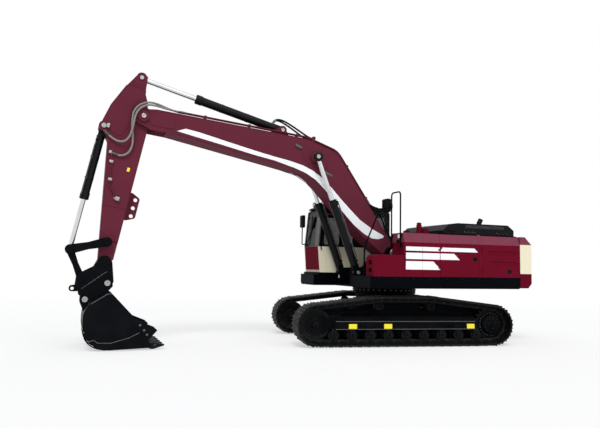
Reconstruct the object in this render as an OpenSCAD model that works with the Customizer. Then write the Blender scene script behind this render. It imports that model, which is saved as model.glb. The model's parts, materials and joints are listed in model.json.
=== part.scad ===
// Crawler excavator of the 36 t class, in millimetres.
// Origin on the ground under the swing axis, +X towards the bucket, +Z up.

/* [Tracks] */
// Turn of the tracks against the house, seen from above
track_heading = -8.6; // [-20:0.1:20]
// Distance between the middles of the two tracks
track_gauge = 2600; // [2500:10:2800]
// Width of a track shoe
shoe_w = 600; // [500:10:640]
// Number of shoes on one track
shoe_n = 50; // [46:1:54]
// Thickness of a shoe plate
shoe_t = 16; // [12:1:20]
// Height of the grouser ridges over the shoe plate
grouser_h = 28; // [20:1:34]
// Distance from idler axle to sprocket axle
wheel_base = 4080; // [3960:10:4200]
// Radius of the chain's pin line round idler and sprocket
wheel_r = 362; // [340:1:380]
// Lift of idler and sprocket over the ground rollers' line
wheel_lift = 8; // [0:1:20]
// Height of the carrier roller axles
carrier_z = 860; // [840:5:880]
// Distance of each carrier roller from the middle
carrier_x = 600; // [500:10:700]
// Radius of a carrier roller
carrier_r = 85; // [75:1:95]
// Number of ground rollers on one side
roller_n = 9; // [7:1:9]
// Distance from first to last ground roller
roller_span = 3300; // [3200:10:3360]
// Radius of a ground roller's tread
roller_r = 95; // [85:1:100]
// Half height of a chain link
link_half = 50; // [44:1:54]
// Inner distance between the two rows of links
link_gap = 100; // [94:1:110]
// Thickness of one row of links
link_t = 45; // [38:1:50]
// Number of sprocket teeth
sprocket_teeth = 21; // [19:2:23]

/* [House] */
// Half width of the house
house_half = 1500; // [1480:5:1540]
// Underside of the house
house_z = 1250; // [1240:5:1270]
// Thickness of the frame's bottom plate
plate_t = 40; // [30:1:50]
// Top of the black deck rim
deck_z = 1510; // [1490:5:1540]
// Wall of the deck rim
rim_t = 70; // [50:5:90]
// Depth of the counterweight from the deck to its rear face
tail_depth = 670; // [600:10:700]
// Top of the side panels
panel_top = 2480; // [2450:5:2520]
// Height where the side panels start to lean in
panel_bend = 2270; // [2200:10:2320]
// How far the side panels lean in at their top
panel_lean = 75; // [50:5:90]
// Thickness of a service door
door_t = 40; // [30:1:50]
// Gap round a door
door_gap = 5; // [5:1:8]
// Radius of the counterweight's rear face about the swing axis
tail_r = 3500; // [3460:10:3560]
// Underside of the counterweight
tail_z = 1270; // [1260:5:1290]
// Top of the engine hood
hood_top = 2790; // [2740:10:2820]
// Front edge of the engine hood
hood_front = -1020; // [-1100:10:-960]
// How far the engine hood reaches over the counterweight
hood_over = 240; // [200:10:280]
// Outer radius of the slew ring
slew_r = 750; // [720:5:780]

/* [Tanks] */
// Rear face of the hydraulic tank
tank_rear = -595; // [-640:5:-560]
// Joint between fuel tank and hydraulic tank
tank_split = -140; // [-190:5:-90]
// Front face of the fuel tank
tank_front = 320; // [300:5:360]
// Front face of the toolbox
toolbox_front = 1070; // [1040:10:1100]
// Top of the toolbox
toolbox_top = 1985; // [1900:5:2050]
// Inner face of the tanks
tank_inner = 955; // [940:5:970]
// Inner face of the toolbox
toolbox_inner = 1125; // [1100:5:1140]

/* [Cab] */
// Inner side of the cab, towards the boom
cab_inner = 520; // [515:1:540]
// Rear face of the cab
cab_rear = -440; // [-500:10:-420]
// Front face of the cab at the floor
cab_front = 1460; // [1420:10:1500]
// Top of the cab's roof
cab_top = 3210; // [3150:10:3260]
// Thickness of the cab walls
cab_wall = 50; // [40:1:60]
// Thickness of the glass
glass_t = 8; // [6:1:12]
// Rear edge of the door opening
door_rear = 430; // [400:10:480]
// Front edge of the door opening
door_front = 1330; // [1290:10:1360]

/* [Boom] */
// Boom foot pin, distance ahead of the swing axis
foot_x = -50; // [-100:5:0]
// Boom foot pin, height
foot_z = 2050; // [2000:5:2090]
// Boom length from foot pin to arm pin
boom_len = 6510; // [6400:10:6600]
// Rise of the boom from foot pin to arm pin, in degrees
boom_pitch = 24.7; // [23:0.1:27]
// Half width of the boom
boom_half = 280; // [270:1:290]
// Radius of the boom foot pin
foot_pin_r = 60; // [50:1:70]
// Radius of the arm pin
arm_pin_r = 55; // [45:1:65]

/* [Arm] */
// Arm length from arm pin to bucket pin
arm_len = 3155; // [3100:5:3200]
// Fall of the arm below the level, in degrees
arm_pitch = 78.2; // [77:0.1:80]
// Half width of the arm
arm_half = 200; // [190:1:205]
// Half width of the arm's nose
nose_half = 170; // [160:1:175]
// Bore of the thumb bracket
thumb_bore_r = 40; // [30:1:45]

/* [Cylinders] */
// Radius of the boom cylinder barrels
boom_barrel_r = 88; // [80:1:92]
// Radius of the boom cylinder rods
boom_rod_r = 52; // [45:1:60]
// Radius of the arm cylinder barrel
arm_barrel_r = 95; // [85:1:100]
// Radius of the arm cylinder rod
arm_rod_r = 58; // [50:1:62]
// Radius of the bucket cylinder barrel
bucket_barrel_r = 82; // [75:1:90]
// Radius of the bucket cylinder rod
bucket_rod_r = 48; // [40:1:55]
// Radius of the pins at the cylinder bases
cyl_pin_r = 45; // [38:1:50]

/* [Bucket] */
// Half width of the bucket
bucket_half = 740; // [700:5:760]
// Thickness of the bucket's sheets
bucket_wall = 28; // [22:1:34]
// Number of teeth
tooth_n = 5; // [4:1:6]
// Radius of the coupler and linkage pins
link_pin_r = 45; // [38:1:50]
// Length of a tipping link from pin to pin
tip_link_len = 716; // [706:1:726]
// Length of the H-link from pin to pin
h_link_len = 641; // [631:1:651]

/* [Hidden] */
$fn = 48;

burgundy = "#5e1a20";
black = "#202224";
grey = "#6c6f72";
steel = "#c8ccd0";
fit = 0.3;             // radial clearance of pins in bores
clear = 10;            // side clearance between moving plates
near = 1;              // side towards +Y
far = -1;              // side towards -Y

// Points in the X-Z plane, [x, z]
function turned(p, a) = [p[0] * cos(a) - p[1] * sin(a), p[0] * sin(a) + p[1] * cos(a)];
function heading(p) = atan2(p[1], p[0]);
function boom_point(p) = [foot_x, foot_z] + turned(p, boom_pitch);
function arm_point(p) = arm_pin + turned(p, -arm_pitch);
function meet(a, ra, b, rb) =
    let (d = b - a, l = norm(d), x = (ra * ra - rb * rb + l * l) / (2 * l), h = sqrt(ra * ra - x * x))
    a + turned([x, h], heading(d));

arm_pin = boom_point([boom_len, 0]);
nose_pin = arm_point([arm_len, 0]);
boom_rod_at = [2734, 1109];      // boom cylinder's pin on the boom, along and above its chord
arm_base_at = [3674, 1359];      // arm cylinder's base pin on the boom
tail_half = 105;                 // half width of the arm's tail, which dips between the boom's pipes
arm_rod_at = [-841, 227];        // arm cylinder's rod pin on the arm, along and ahead of its axis
bucket_base_at = [414, 710];     // bucket cylinder's base pin on the arm
tip_link_at = [arm_len - 432, 62];  // tipping link's pin on the arm
boom_base_pin = [947, 1574];
boom_rod_pin = boom_point(boom_rod_at);
arm_base_pin = boom_point(arm_base_at);
arm_rod_pin = arm_point(arm_rod_at);
bucket_base_pin = arm_point(bucket_base_at);
tip_link_pin = arm_point(tip_link_at);
h_link_pin = nose_pin + [426, -321];
bucket_pin = nose_pin + [-68, -396];
hook_pin = nose_pin + [344, -718];
rod_eye_pin = meet(tip_link_pin, tip_link_len, h_link_pin, h_link_len);

// Layers across the linkage, distances from the middle plane
eye_half = 60;
fork_in = eye_half + clear;
fork_out = fork_in + 50;
ear_in = nose_half + clear;
ear_out = ear_in + 55;
tip_in = ear_out + clear;
tip_out = tip_in + 45;
boom_cyl_y = 420;
boom_eye_half = 55;

// A closed outline from corners [x, y, radius], each rounded by a few points
function rounded(c, n = 5) = [for (i = [0:len(c) - 1])
    let (p = [c[i][0], c[i][1]], r = len(c[i]) > 2 ? c[i][2] : 0,
         a = [for (k = [0:1]) c[(i + len(c) - 1) % len(c)][k]] - p,
         b = [for (k = [0:1]) c[(i + 1) % len(c)][k]] - p,
         ua = a / norm(a), ub = b / norm(b), half = acos(max(-1, min(1, ua * ub))) / 2,
         reach = r / tan(half), mid = (ua + ub) / norm(ua + ub), o = p + mid * r / sin(half),
         s = heading(p + ua * reach - o), e = heading(p + ub * reach - o),
         sweep = (e - s + 540) % 360 - 180)
    each r == 0 ? [p] : [for (k = [0:n]) o + r * [cos(s + sweep * k / n), sin(s + sweep * k / n)]]];

// An outline moved inwards by d; corners in counter-clockwise order
function inset(c, d) = [for (i = [0:len(c) - 1])
    let (p = c[i], u = p - c[(i + len(c) - 1) % len(c)], v = c[(i + 1) % len(c)] - p,
         a = [-u[1], u[0]] / norm(u), b = [-v[1], v[0]] / norm(v))
    p + (a + b) * d / (1 + a * b)];

// Extrude an X-Z outline from y0 to y1
module slab(y0, y1) { translate([0, y1, 0]) rotate([90, 0, 0]) linear_extrude(y1 - y0) children(); }
// A round bar across the machine at an X-Z point
module bar(p, r, y0, y1) { translate([p[0], y1, p[1]]) rotate([90, 0, 0]) cylinder(r = r, h = y1 - y0); }
// A box from corner to corner
module block(a, b) { translate(a) cube(b - a); }
module both() { children(); mirror([0, 1, 0]) children(); }
module in_boom() { translate([foot_x, 0, foot_z]) rotate([0, -boom_pitch, 0]) children(); }
module in_arm() { translate([arm_pin[0], 0, arm_pin[1]]) rotate([0, arm_pitch, 0]) children(); }
module in_tool() { translate([nose_pin[0], 0, nose_pin[1]]) children(); }
module in_tracks() { rotate([0, 0, track_heading]) children(); }

// A bent tube through points, swept as one closed solid with flat sides
function bent(p, r, n = 4) = [for (i = [0:len(p) - 1]) each i == 0 || i == len(p) - 1 ? [p[i]] :
    let (u = p[i - 1] - p[i], v = p[i + 1] - p[i], a = p[i] + u / norm(u) * r, b = p[i] + v / norm(v) * r)
    [for (k = [0:n]) let (t = k / n) a * pow(1 - t, 2) + p[i] * 2 * t * (1 - t) + b * t * t]];
module tube(points, r, bend = 0, sides = 10) {
    path = bend > 0 ? bent(points, bend) : points;
    m = len(path);
    t = [for (i = [0:m - 1]) let (d = path[min(i + 1, m - 1)] - path[max(i - 1, 0)]) d / norm(d)];
    up = abs(t[0] * [0, 1, 0]) > 0.9 ? [1, 0, 0] : [0, 1, 0];
    rings = [for (i = [0:m - 1])
        let (s = cross(t[i], up), a = s / norm(s), b = cross(t[i], a))
        for (k = [0:sides - 1]) path[i] + r * (a * cos(360 * k / sides) + b * sin(360 * k / sides))];
    faces = concat([[for (k = [0:sides - 1]) k]],
        [for (i = [0:m - 2], k = [0:sides - 1])
            let (q = (k + 1) % sides) [i * sides + q, i * sides + k, (i + 1) * sides + k,
                (i + 1) * sides + q]],
        [[for (k = [sides - 1:-1:0]) (m - 1) * sides + k]]);
    polyhedron(rings, faces, convexity = 6);
}

// The chain's pin line runs round these wheels, [x, z, radius], counter-clockwise from the front
pin_z = link_half + shoe_t + grouser_h;
wheel_z = pin_z + wheel_r + wheel_lift;
roller_z = pin_z + link_half + roller_r;
carrier_path_r = carrier_r + link_half;
ground_r = roller_r + link_half;
wheels = [[wheel_base / 2, wheel_z, wheel_r], [carrier_x, carrier_z, carrier_path_r],
    [-carrier_x, carrier_z, carrier_path_r], [-wheel_base / 2, wheel_z, wheel_r],
    [-roller_span / 2, roller_z, ground_r], [roller_span / 2, roller_z, ground_r]];
wheel_count = len(wheels);
function hub(i) = let (w = wheels[i % wheel_count]) [w[0], w[1]];
function hub_r(i) = wheels[i % wheel_count][2];
function leave(i) = let (d = hub(i + 1) - hub(i)) heading(d) - acos((hub_r(i) - hub_r(i + 1)) / norm(d));
function run(i) = let (d = hub(i + 1) - hub(i), e = hub_r(i) - hub_r(i + 1)) sqrt(d * d - e * e);
function wrap(i) = (leave(i) - leave(i + wheel_count - 1) + 720) % 360;
function arc(i) = hub_r(i) * wrap(i) * PI / 180;
legs = [for (i = [0:wheel_count - 1]) each [arc(i), run(i)]];
function total(v, i = 0) = i == len(v) ? 0 : v[i] + total(v, i + 1);
chain_len = total(legs);
pitch = chain_len / shoe_n;
// Place on the pin line at length s, [x, z, angle of the outward direction]
function place(s, i = 0) = s <= legs[i] || i == len(legs) - 1 ?
    (let (w = floor(i / 2), a = leave(w + wheel_count - 1) + wrap(w) * s / max(legs[i], 1), b = leave(w))
    i % 2 == 0 ? [hub(w)[0] + hub_r(w) * cos(a), hub(w)[1] + hub_r(w) * sin(a), a] :
    [hub(w)[0] + hub_r(w) * cos(b) - s * sin(b), hub(w)[1] + hub_r(w) * sin(b) + s * cos(b), b]) :
    place(s - legs[i], i + 1);
function out(q, along, height) =
    [q[0] + height * cos(q[2]) - along * sin(q[2]), q[1] + height * sin(q[2]) + along * cos(q[2])];
// One shoe's outer face, [share of the pitch along, share of the grouser's height]
shoe_face = [[-0.485, -0.35], [-0.43, 0], [-0.37, 1], [-0.31, 0], [-0.055, 0], [0, 0.9], [0.055, 0],
    [0.31, 0], [0.37, 1], [0.43, 0], [0.485, -0.35]];
shoe_z = link_half + shoe_t;
module shoe_ring() {
    outer = [for (k = [0:shoe_n - 1]) let (q = place(k * pitch)) each
        [for (f = shoe_face) out(q, f[0] * pitch, shoe_z + f[1] * grouser_h)]];
    inner = [for (k = [0:shoe_n - 1]) out(place(k * pitch), 0, link_half - 2)];
    difference() { polygon(outer); polygon(inner); }
}
arc_steps = 10;
module link_ring(depth) {
    edge = [for (i = [0:wheel_count - 1], k = [0:arc_steps])
        let (a = leave(i + wheel_count - 1) + wrap(i) * k / arc_steps)
        if (wrap(i) > 20 || k % arc_steps == 0) hub(i) + (hub_r(i) + depth) * [cos(a), sin(a)]];
    polygon(edge);
}
module track(side) {
    in_tracks() translate([0, side * track_gauge / 2, 0]) {
        slab(-shoe_w / 2, shoe_w / 2) shoe_ring();
        both() slab(link_gap / 2, link_gap / 2 + link_t)
            difference() { link_ring(link_half); link_ring(-link_half); }
    }
}
module track_near() { color(black) track(near); }
module track_far() { color(black) track(far); }
module each_side() { in_tracks() both() translate([0, track_gauge / 2, 0]) children(); }

// Wheels inside the chain
rail_out = link_gap / 2 + link_t;
axle_r = 45;
yoke_in = rail_out + 25;
yoke_out = yoke_in + 40;
module revolve_y(profile) { rotate([90, 0, 0]) rotate_extrude() polygon(profile); }
module idlers() {
    tread = (wheel_r - link_half) * cos(wrap(0) / arc_steps / 2) - fit;
    flange = wheel_r - 12;
    core_r = 130;
    half = [[flange, 32], [tread, 42], [tread, rail_out], [tread - 40, rail_out], [tread - 60, 50],
        [core_r, 50], [core_r, rail_out + 8], [axle_r, rail_out + 8], [axle_r, yoke_out + 10],
        [0, yoke_out + 10]];
    color(black) each_side() translate([wheel_base / 2, 0, wheel_z])
        revolve_y(concat([for (i = [len(half) - 1:-1:0]) [half[i][0], -half[i][1]]], half));
}
sprocket_tip = wheel_r + 24;
sprocket_half = 38;
drive_r = 235;
module sprockets() {
    root = wheel_r - 34;
    step = 360 / sprocket_teeth;
    // One tooth, [share of the step, radius]
    tooth = [[-0.5, root], [-0.28, root], [-0.12, sprocket_tip], [0.12, sprocket_tip], [0.28, root]];
    outline = [for (k = [0:sprocket_teeth - 1], f = tooth)
        f[1] * [cos((k + f[0]) * step), sin((k + f[0]) * step)]];
    color(black) each_side() translate([-wheel_base / 2, 0, wheel_z]) difference() {
        slab(-sprocket_half, sprocket_half) polygon(outline);
        bar([0, 0], drive_r + fit, -sprocket_half - 5, sprocket_half + 5);
    }
}
module final_drives() {
    rim_r = drive_r + 27;
    cap_r = 120;
    ring = [[0, -130], [drive_r - 20, -130], [drive_r - 20, -60], [drive_r, -60], [drive_r, 40],
        [rim_r, 40], [rim_r, 66], [drive_r, 66], [drive_r, 120], [drive_r - 30, 160], [cap_r, 175],
        [cap_r, 190], [0, 190]];
    color(black) each_side() translate([-wheel_base / 2, 0, wheel_z]) mirror([0, 1, 0]) revolve_y(ring);
}
module carrier_rollers() {
    tread = carrier_r - fit;
    groove_r = 60;
    prof = [[0, -115], [axle_r, -115], [axle_r, -rail_out], [tread, -rail_out], [tread, -30],
        [groove_r, -20], [groove_r, 20], [tread, 30], [tread, rail_out], [70, rail_out + 12],
        [0, rail_out + 12]];
    color(black) each_side() for (x = [-carrier_x, carrier_x])
        translate([x, 0, carrier_z]) mirror([0, 1, 0]) revolve_y(prof);
}
module track_rollers() {
    tread = roller_r - fit;
    flange = roller_r + 18;
    hang = beam_bottom - roller_z;
    groove_r = 50;
    pin_r = 38;
    half = [[groove_r, sprocket_half - 4], [tread, sprocket_half + 6], [tread, rail_out + 2],
        [flange, rail_out + 6], [flange, 130], [pin_r, 130], [pin_r, 150], [0, 150]];
    prof = concat([for (i = [len(half) - 1:-1:0]) [half[i][0], -half[i][1]]], half);
    color(black) each_side() for (i = [0:roller_n - 1])
        translate([(i / (roller_n - 1) - 0.5) * roller_span, 0, roller_z]) {
            revolve_y(prof);
            both() block([-45, 147, -30], [45, 167, hang]);
        }
}
beam_bottom = 372;
beam_top = 640;
beam_half = 190;
module track_frames() {
    beam = [[-beam_half, beam_bottom], [beam_half, beam_bottom], [beam_half, 540], [90, beam_top],
        [-90, beam_top], [-beam_half, 540]];
    beam_rear = -wheel_base / 2 + sprocket_tip + 2 * clear;
    beam_front = wheel_base / 2 - wheel_r - 2 * clear;
    yoke_x = wheel_base / 2 + 120;
    color(black) each_side() difference() {
        union() {
            along_x(beam_rear, beam_front) polygon(beam);
            both() slab(yoke_in, yoke_out)
                polygon(rounded([[1500, beam_bottom], [yoke_x, beam_bottom + 15, 60], [yoke_x, 560, 80],
                    [1500, beam_top - 10]]));
            slab(-beam_half + 4, -beam_half + 18)
                polygon([[-1600, 140], [1640, 140], [1640, beam_bottom + 5], [-1600, beam_bottom + 5]]);
            slab(-170, -130) polygon([[-1560, 560], [-1560, 690], [-1300, 760], [1250, 760], [1560, 600],
                [1560, 560]]);
            slab(-170, -130) union() {
                polygon([[-1560, 400], [-1560, 560], [-wheel_base / 2, wheel_z + 250],
                    [-wheel_base / 2, wheel_z - 250], [-1730, 400]]);
                translate([-wheel_base / 2, wheel_z]) circle(r = 250);
            }
            for (x = [-carrier_x, carrier_x]) slab(-175, -115)
                polygon([[x - 110, 560], [x + 110, 560], [x + 55, carrier_z + 50],
                    [x - 55, carrier_z + 50]]);
        }
        bar([wheel_base / 2, wheel_z], axle_r + fit, -yoke_out - 5, yoke_out + 5);
    }
}
module car_body() {
    reach = track_gauge / 2 - beam_half;
    leg = [[330, 0], [760, 430], [1330, reach], [700, reach], [430, 720], [0, 560]];
    foot_z0 = 420;
    color(black) in_tracks() {
        for (m = [0, 1], n = [0, 1]) mirror([m, 0, 0]) mirror([0, n, 0])
            translate([0, 0, foot_z0 + 40]) linear_extrude(330) polygon(leg);
        translate([0, 0, foot_z0]) linear_extrude(370) circle(r = 620, $fn = 8);
        translate([0, 0, foot_z0 + 360]) cylinder(r = 680, h = ring_z - foot_z0 - 360);
    }
}
ring_z = 1020;
race_r = 660;
module slew_ring() {
    color(grey) rotate_extrude($fn = 96)
        polygon([[560, ring_z], [race_r + 20, ring_z], [race_r + 20, ring_z + 60],
            [race_r - fit, ring_z + 60], [race_r - fit, house_z - 30], [560, house_z - 30]]);
}

// House
deck_rear = tail_depth - tail_r;
hood_rear = deck_rear - hood_over;
platform_front = 1640;
gap_front = 700;
deck_front = toolbox_front + 90;
deck_inner = 570;
deck_plan = [[deck_front, house_half], [deck_rear, house_half], [deck_rear, -house_half],
    [platform_front - 120, -house_half], [platform_front, -house_half + 120], [platform_front, -cab_inner],
    [gap_front, -cab_inner], [gap_front, deck_inner], [deck_front, deck_inner]];
web_in = boom_half + clear + 5;
web_out = web_in + 55;
lug_out = boom_cyl_y + boom_eye_half + 30;
engine_seat = 1600;
engine_x = [deck_rear + 230, -1350];
valve_x = [-640, -450];
module main_frame() {
    top = house_z + plate_t;
    nose_x = boom_base_pin[0] + 113;
    web = rounded([[deck_rear, top - 5], [deck_rear, engine_seat], [-1250, engine_seat, 300],
        [-480, 2060, 200], [foot_x - 130, foot_z + 170, 90], [foot_x + 130, foot_z + 130, 90],
        [420, 1700, 200], [880, 1690, 60], [nose_x, 1640, 60], [nose_x, top - 5]]);
    lug = rounded([[640, top - 5], [800, 1640, 60], [900, 1690, 60], [1020, 1690, 60], [nose_x, 1560, 60],
        [nose_x, top - 5]]);
    color(black) {
        translate([0, 0, house_z]) linear_extrude(plate_t) difference() {
            polygon(inset(deck_plan, 15));
            circle(r = 380);
        }
        block([600, -lug_out, house_z], [nose_x, lug_out, house_z + plate_t]);
        block([valve_x[0], -220, top - 1], [valve_x[1], 220, 2160]);
        translate([0, 0, house_z - 160]) rotate_extrude($fn = 96)
            polygon([[race_r, 0], [slew_r, 0], [slew_r, 165], [race_r, 165]]);
        both() {
            slab(web_in, web_out) polygon(web);
            slab(boom_cyl_y + boom_eye_half + 5, lug_out) polygon(lug);
            bar(boom_base_pin, 110, web_out - 1, boom_cyl_y - boom_eye_half - 5);
            bar(boom_base_pin, cyl_pin_r, web_out - 1, lug_out + 8);
            bar([foot_x, foot_z], 130, web_out - 1, web_out + 12);
        }
        bar([foot_x, foot_z], foot_pin_r, -web_out, web_out);
        for (x = [deck_rear + 330, -700]) block([x, -web_in - 1, top - 1], [x + 40, web_in + 1, 1520]);
    }
}
module deck_rim() {
    color(black) {
        translate([0, 0, house_z + plate_t]) linear_extrude(deck_z - house_z - plate_t) difference() {
            polygon(deck_plan);
            polygon(inset(deck_plan, rim_t));
            for (x = [deck_rear, gap_front - rim_t])
                translate([x - 1, -cab_inner]) square([rim_t + 2, cab_inner + deck_inner]);
            translate([deck_rear - 1, -house_half + rim_t]) square([rim_t + 2, 2 * (house_half - rim_t)]);
        }
        block([tank_rear, deck_inner, deck_z - 15], [deck_front - 1, house_half - 1, deck_z]);
    }
}

// Side panel section, [y, z], from the sill up
function panel_section(t) = [[house_half, deck_z + door_gap], [house_half, panel_bend],
    [house_half - panel_lean, panel_top - door_gap], [house_half - panel_lean - t, panel_top - door_gap],
    [house_half - t, panel_bend - 8], [house_half - t, deck_z + door_gap]];
module along_x(x0, x1) { translate([x0, 0, 0]) rotate([90, 0, 90]) linear_extrude(x1 - x0) children(); }

// Hinge: a fixed leaf with its pin and two knuckles, a moving leaf with one. Axis along Z, leaf towards +X,
// the leaf's back face knuckle_r behind the axis.
knuckle_r = 12;
hinge_pin_r = 5;
leaf_w = 50;
leaf_t = 6;
module leaf(z0, z1) {
    translate([0, 0, z0]) cylinder(r = knuckle_r, h = z1 - z0, $fn = 24);
    block([0, -knuckle_r, z0], [leaf_w, -knuckle_r + leaf_t, z1]);
}
module fixed_leaf() {
    leaf(-60, -20);
    leaf(20, 60);
    translate([0, 0, -60]) cylinder(r = hinge_pin_r, h = 120, $fn = 24);
}
module moving_leaf() {
    difference() {
        leaf(-20 + fit, 20 - fit);
        translate([0, 0, -60]) cylinder(r = hinge_pin_r + fit, h = 120, $fn = 24);
    }
}

// Service doors, [rear edge, front edge]; each hinges at its front edge, on a flush pillar or on the tank
pillar_x = [-1732, -1662];
cab_pillar_x = [tank_rear, cab_rear - 12];
front_door_x = [pillar_x[1] + door_gap, tank_rear - door_gap];
rear_door_x = [deck_rear + door_gap, pillar_x[0] - door_gap];
door_hinge_z = [1680, 2160];
module at_door_hinges(x) { for (z = door_hinge_z) translate([x, house_half + knuckle_r, z]) children(); }
module side_door(x) {
    along_x(x[0], x[1]) polygon(panel_section(door_t));
    at_door_hinges(x[1] + door_gap / 2) mirror([1, 0, 0]) moving_leaf();
}
// Long pressed grooves in a door, [height]
groove_z = [1840, 2080];
module grooves(x0, x1) {
    for (z = groove_z) slab(house_half - 14, house_half + 20)
        polygon(rounded([[x0, z - 45, 40], [x1, z - 45, 40], [x1, z + 45, 40], [x0, z + 45, 40]]));
}
// Louvre slots for cooling air
louvre_n = 9;
louvre_edge = 110;
louvre_w = (rear_door_x[1] - rear_door_x[0] - 3 * louvre_edge) / 2;
module louvres(x0, x1) {
    for (i = [0:louvre_n - 1]) let (z = deck_z + 110 + i * 68)
        block([x0, house_half - door_t - 5, z], [x1, house_half + 5, z + 30]);
}
module near_front_door() { color(burgundy) side_door(front_door_x); }
module near_rear_door() {
    color(burgundy) difference() {
        side_door(rear_door_x);
        grooves(rear_door_x[0] + 130, rear_door_x[1] - 190);
    }
}
module far_front_door() { color(burgundy) mirror([0, 1, 0]) side_door(front_door_x); }
module far_rear_door() {
    color(burgundy) mirror([0, 1, 0]) difference() {
        side_door(rear_door_x);
        louvres(rear_door_x[0] + louvre_edge, rear_door_x[0] + louvre_edge + louvre_w);
        louvres(rear_door_x[1] - louvre_edge - louvre_w, rear_door_x[1] - louvre_edge);
    }
}

top_plate_t = 20;
hood_half_near = 1000;
hood_half_far = 880;
hood_z0 = panel_top + 25;
hood_axis = [hood_front + knuckle_r, panel_top + top_plate_t + knuckle_r];
hood_hinge_y = [-620, 740];
plate_edge = house_half - panel_lean - door_t - 15;
post_w = 60;
module pillar(x) {
    along_x(x[0], x[1]) union() {
        polygon(panel_section(door_t));
        polygon([[plate_edge - 5, panel_top], [house_half - panel_lean - door_t, panel_top - 40],
            [house_half - panel_lean, panel_top - door_gap - 1],
            [house_half - panel_lean, panel_top + top_plate_t], [plate_edge - 5, panel_top + top_plate_t]]);
    }
}
module house_frame() {
    rear_post = deck_rear + 1;
    front_post = tank_rear - 1 - post_w;
    mid_post = (pillar_x[0] + pillar_x[1] - post_w) / 2;
    color(black) {
        translate([0, 0, panel_top]) linear_extrude(top_plate_t) difference() {
            union() {
                polygon([[deck_rear + 1, -plate_edge], [tank_rear - 1, -plate_edge],
                    [tank_rear - 1, plate_edge], [deck_rear + 1, plate_edge]]);
                polygon([[tank_rear - 5, -plate_edge], [cab_pillar_x[1], -plate_edge],
                    [cab_pillar_x[1], -cab_inner], [tank_rear - 5, -cab_inner]]);
            }
            polygon([[deck_rear + 60, -hood_half_far + 60], [hood_front - 90, -hood_half_far + 60],
                [hood_front - 90, hood_half_near - 60], [deck_rear + 60, hood_half_near - 60]]);
        }
        both() for (x = [rear_post, mid_post, front_post])
            block([x, plate_edge - post_w, house_z + plate_t], [x + post_w, plate_edge, panel_top + 1]);
        both() {
            pillar(pillar_x);
            at_door_hinges(pillar_x[0] - door_gap / 2) fixed_leaf();
        }
        mirror([0, 1, 0]) {
            pillar(cab_pillar_x);
            at_door_hinges(cab_pillar_x[0] - door_gap / 2) fixed_leaf();
        }
        for (y = hood_hinge_y) translate([hood_axis[0], y, hood_axis[1]])
            rotate([-90, 0, 0]) mirror([0, 1, 0]) fixed_leaf();
    }
}
slot_n = 14;
slot_pitch = 80;
slot_w = 34;
module hood() {
    wall = 14;
    outline = rounded([[hood_rear, hood_z0], [hood_front, hood_z0], [hood_front, hood_z0 + 105, 40],
        [hood_front - 150, hood_top - 40, 60], [hood_front - 400, hood_top, 200],
        [hood_rear + 180, hood_top, 60], [hood_rear, hood_top - 125, 40]]);
    inner = [for (p = inset(outline, wall)) [p[0], p[1] < hood_z0 + 2 * wall ? hood_z0 - 5 : p[1]]];
    color(black) {
        difference() {
            slab(-hood_half_far, hood_half_near) polygon(outline);
            slab(-hood_half_far + wall, hood_half_near - wall) polygon(inner);
            for (i = [0:slot_n - 1]) let (x = hood_front - 640 - i * slot_pitch)
                block([x - slot_w, hood_half_near - 60, hood_top - 110],
                    [x, hood_half_near + 5, hood_top - 40]);
        }
        for (y = hood_hinge_y) translate([hood_axis[0], y, hood_axis[1]])
            rotate([-90, 0, 0]) rotate([0, 0, -90]) moving_leaf();
    }
}
module exhaust_stack() {
    stack_r = 60;
    color(grey) translate([hood_rear + 760, 640, hood_top]) difference() {
        union() {
            cylinder(r = stack_r + 25, h = 14);
            cylinder(r = stack_r, h = 60);
            translate([0, 0, 50]) rotate([0, -30, 0]) cylinder(r = stack_r, h = 110);
        }
        translate([0, 0, 50]) rotate([0, -30, 0]) cylinder(r = stack_r - 6, h = 130);
    }
}
module counterweight() {
    inner_r = -deck_rear - 300;
    section = [[inner_r, tail_z], [tail_r - 90, tail_z], [tail_r, tail_z + 110], [tail_r, panel_top - 175],
        [tail_r - 170, panel_top + 5], [inner_r, panel_top + 5]];
    color(burgundy) difference() {
        intersection() {
            rotate_extrude($fn = 96) polygon(section);
            block([-tail_r - 50, -house_half, tail_z - 50], [deck_rear, house_half, panel_top + 50]);
        }
        block([-tail_r - 50, -150, tail_z - 60], [-tail_r + 130, 150, tail_z + 230]);
    }
}
module tank_section() {
    polygon([[tank_inner, deck_z], [house_half, deck_z], [house_half, panel_bend],
        [house_half - panel_lean, panel_top], [tank_inner, panel_top]]);
}
// Steps sunk into the toolbox front, [height]
step_z = [1590, 1760];
step_h = 95;
step_depth = 100;
step_edge = 110;
module toolbox() {
    rear = tank_front + 1;
    color(burgundy) difference() {
        slab(toolbox_inner, house_half)
            polygon(rounded([[rear, deck_z], [toolbox_front, deck_z], [toolbox_front, toolbox_top, 130],
                [rear, toolbox_top]]));
        for (z = step_z) block([toolbox_front - step_depth, toolbox_inner + step_edge, z],
            [toolbox_front + 5, house_half - step_edge, z + step_h]);
    }
}
module fuel_tank() {
    color(burgundy) {
        along_x(tank_split + 1, tank_front) tank_section();
        translate([tank_split + 230, 1190, panel_top - 1]) cylinder(r = 70, h = 40);
    }
}
module hydraulic_tank() {
    color(burgundy) {
        along_x(tank_rear, tank_split) tank_section();
        translate([-320, 1060, panel_top - 1]) cylinder(r = 62, h = 220);
        translate([-320, 1060, panel_top + 218]) cylinder(r = 50, h = 25);
        translate([-465, 1080, panel_top - 1]) cylinder(r = 85, h = 120);
        at_door_hinges(tank_rear - door_gap / 2) fixed_leaf();
    }
}
module engine() {
    color(grey) {
        block([engine_x[0], -700, engine_seat + fit], [engine_x[1], 600, 2060]);
        block([engine_x[0] + 150, -560, 2059], [engine_x[1] - 150, 420, 2330]);
    }
}
rail_r = 17;
hoop_x = tank_front + rail_r + 12;
hoop_y = [tank_inner + 15, house_half - 135];
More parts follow.
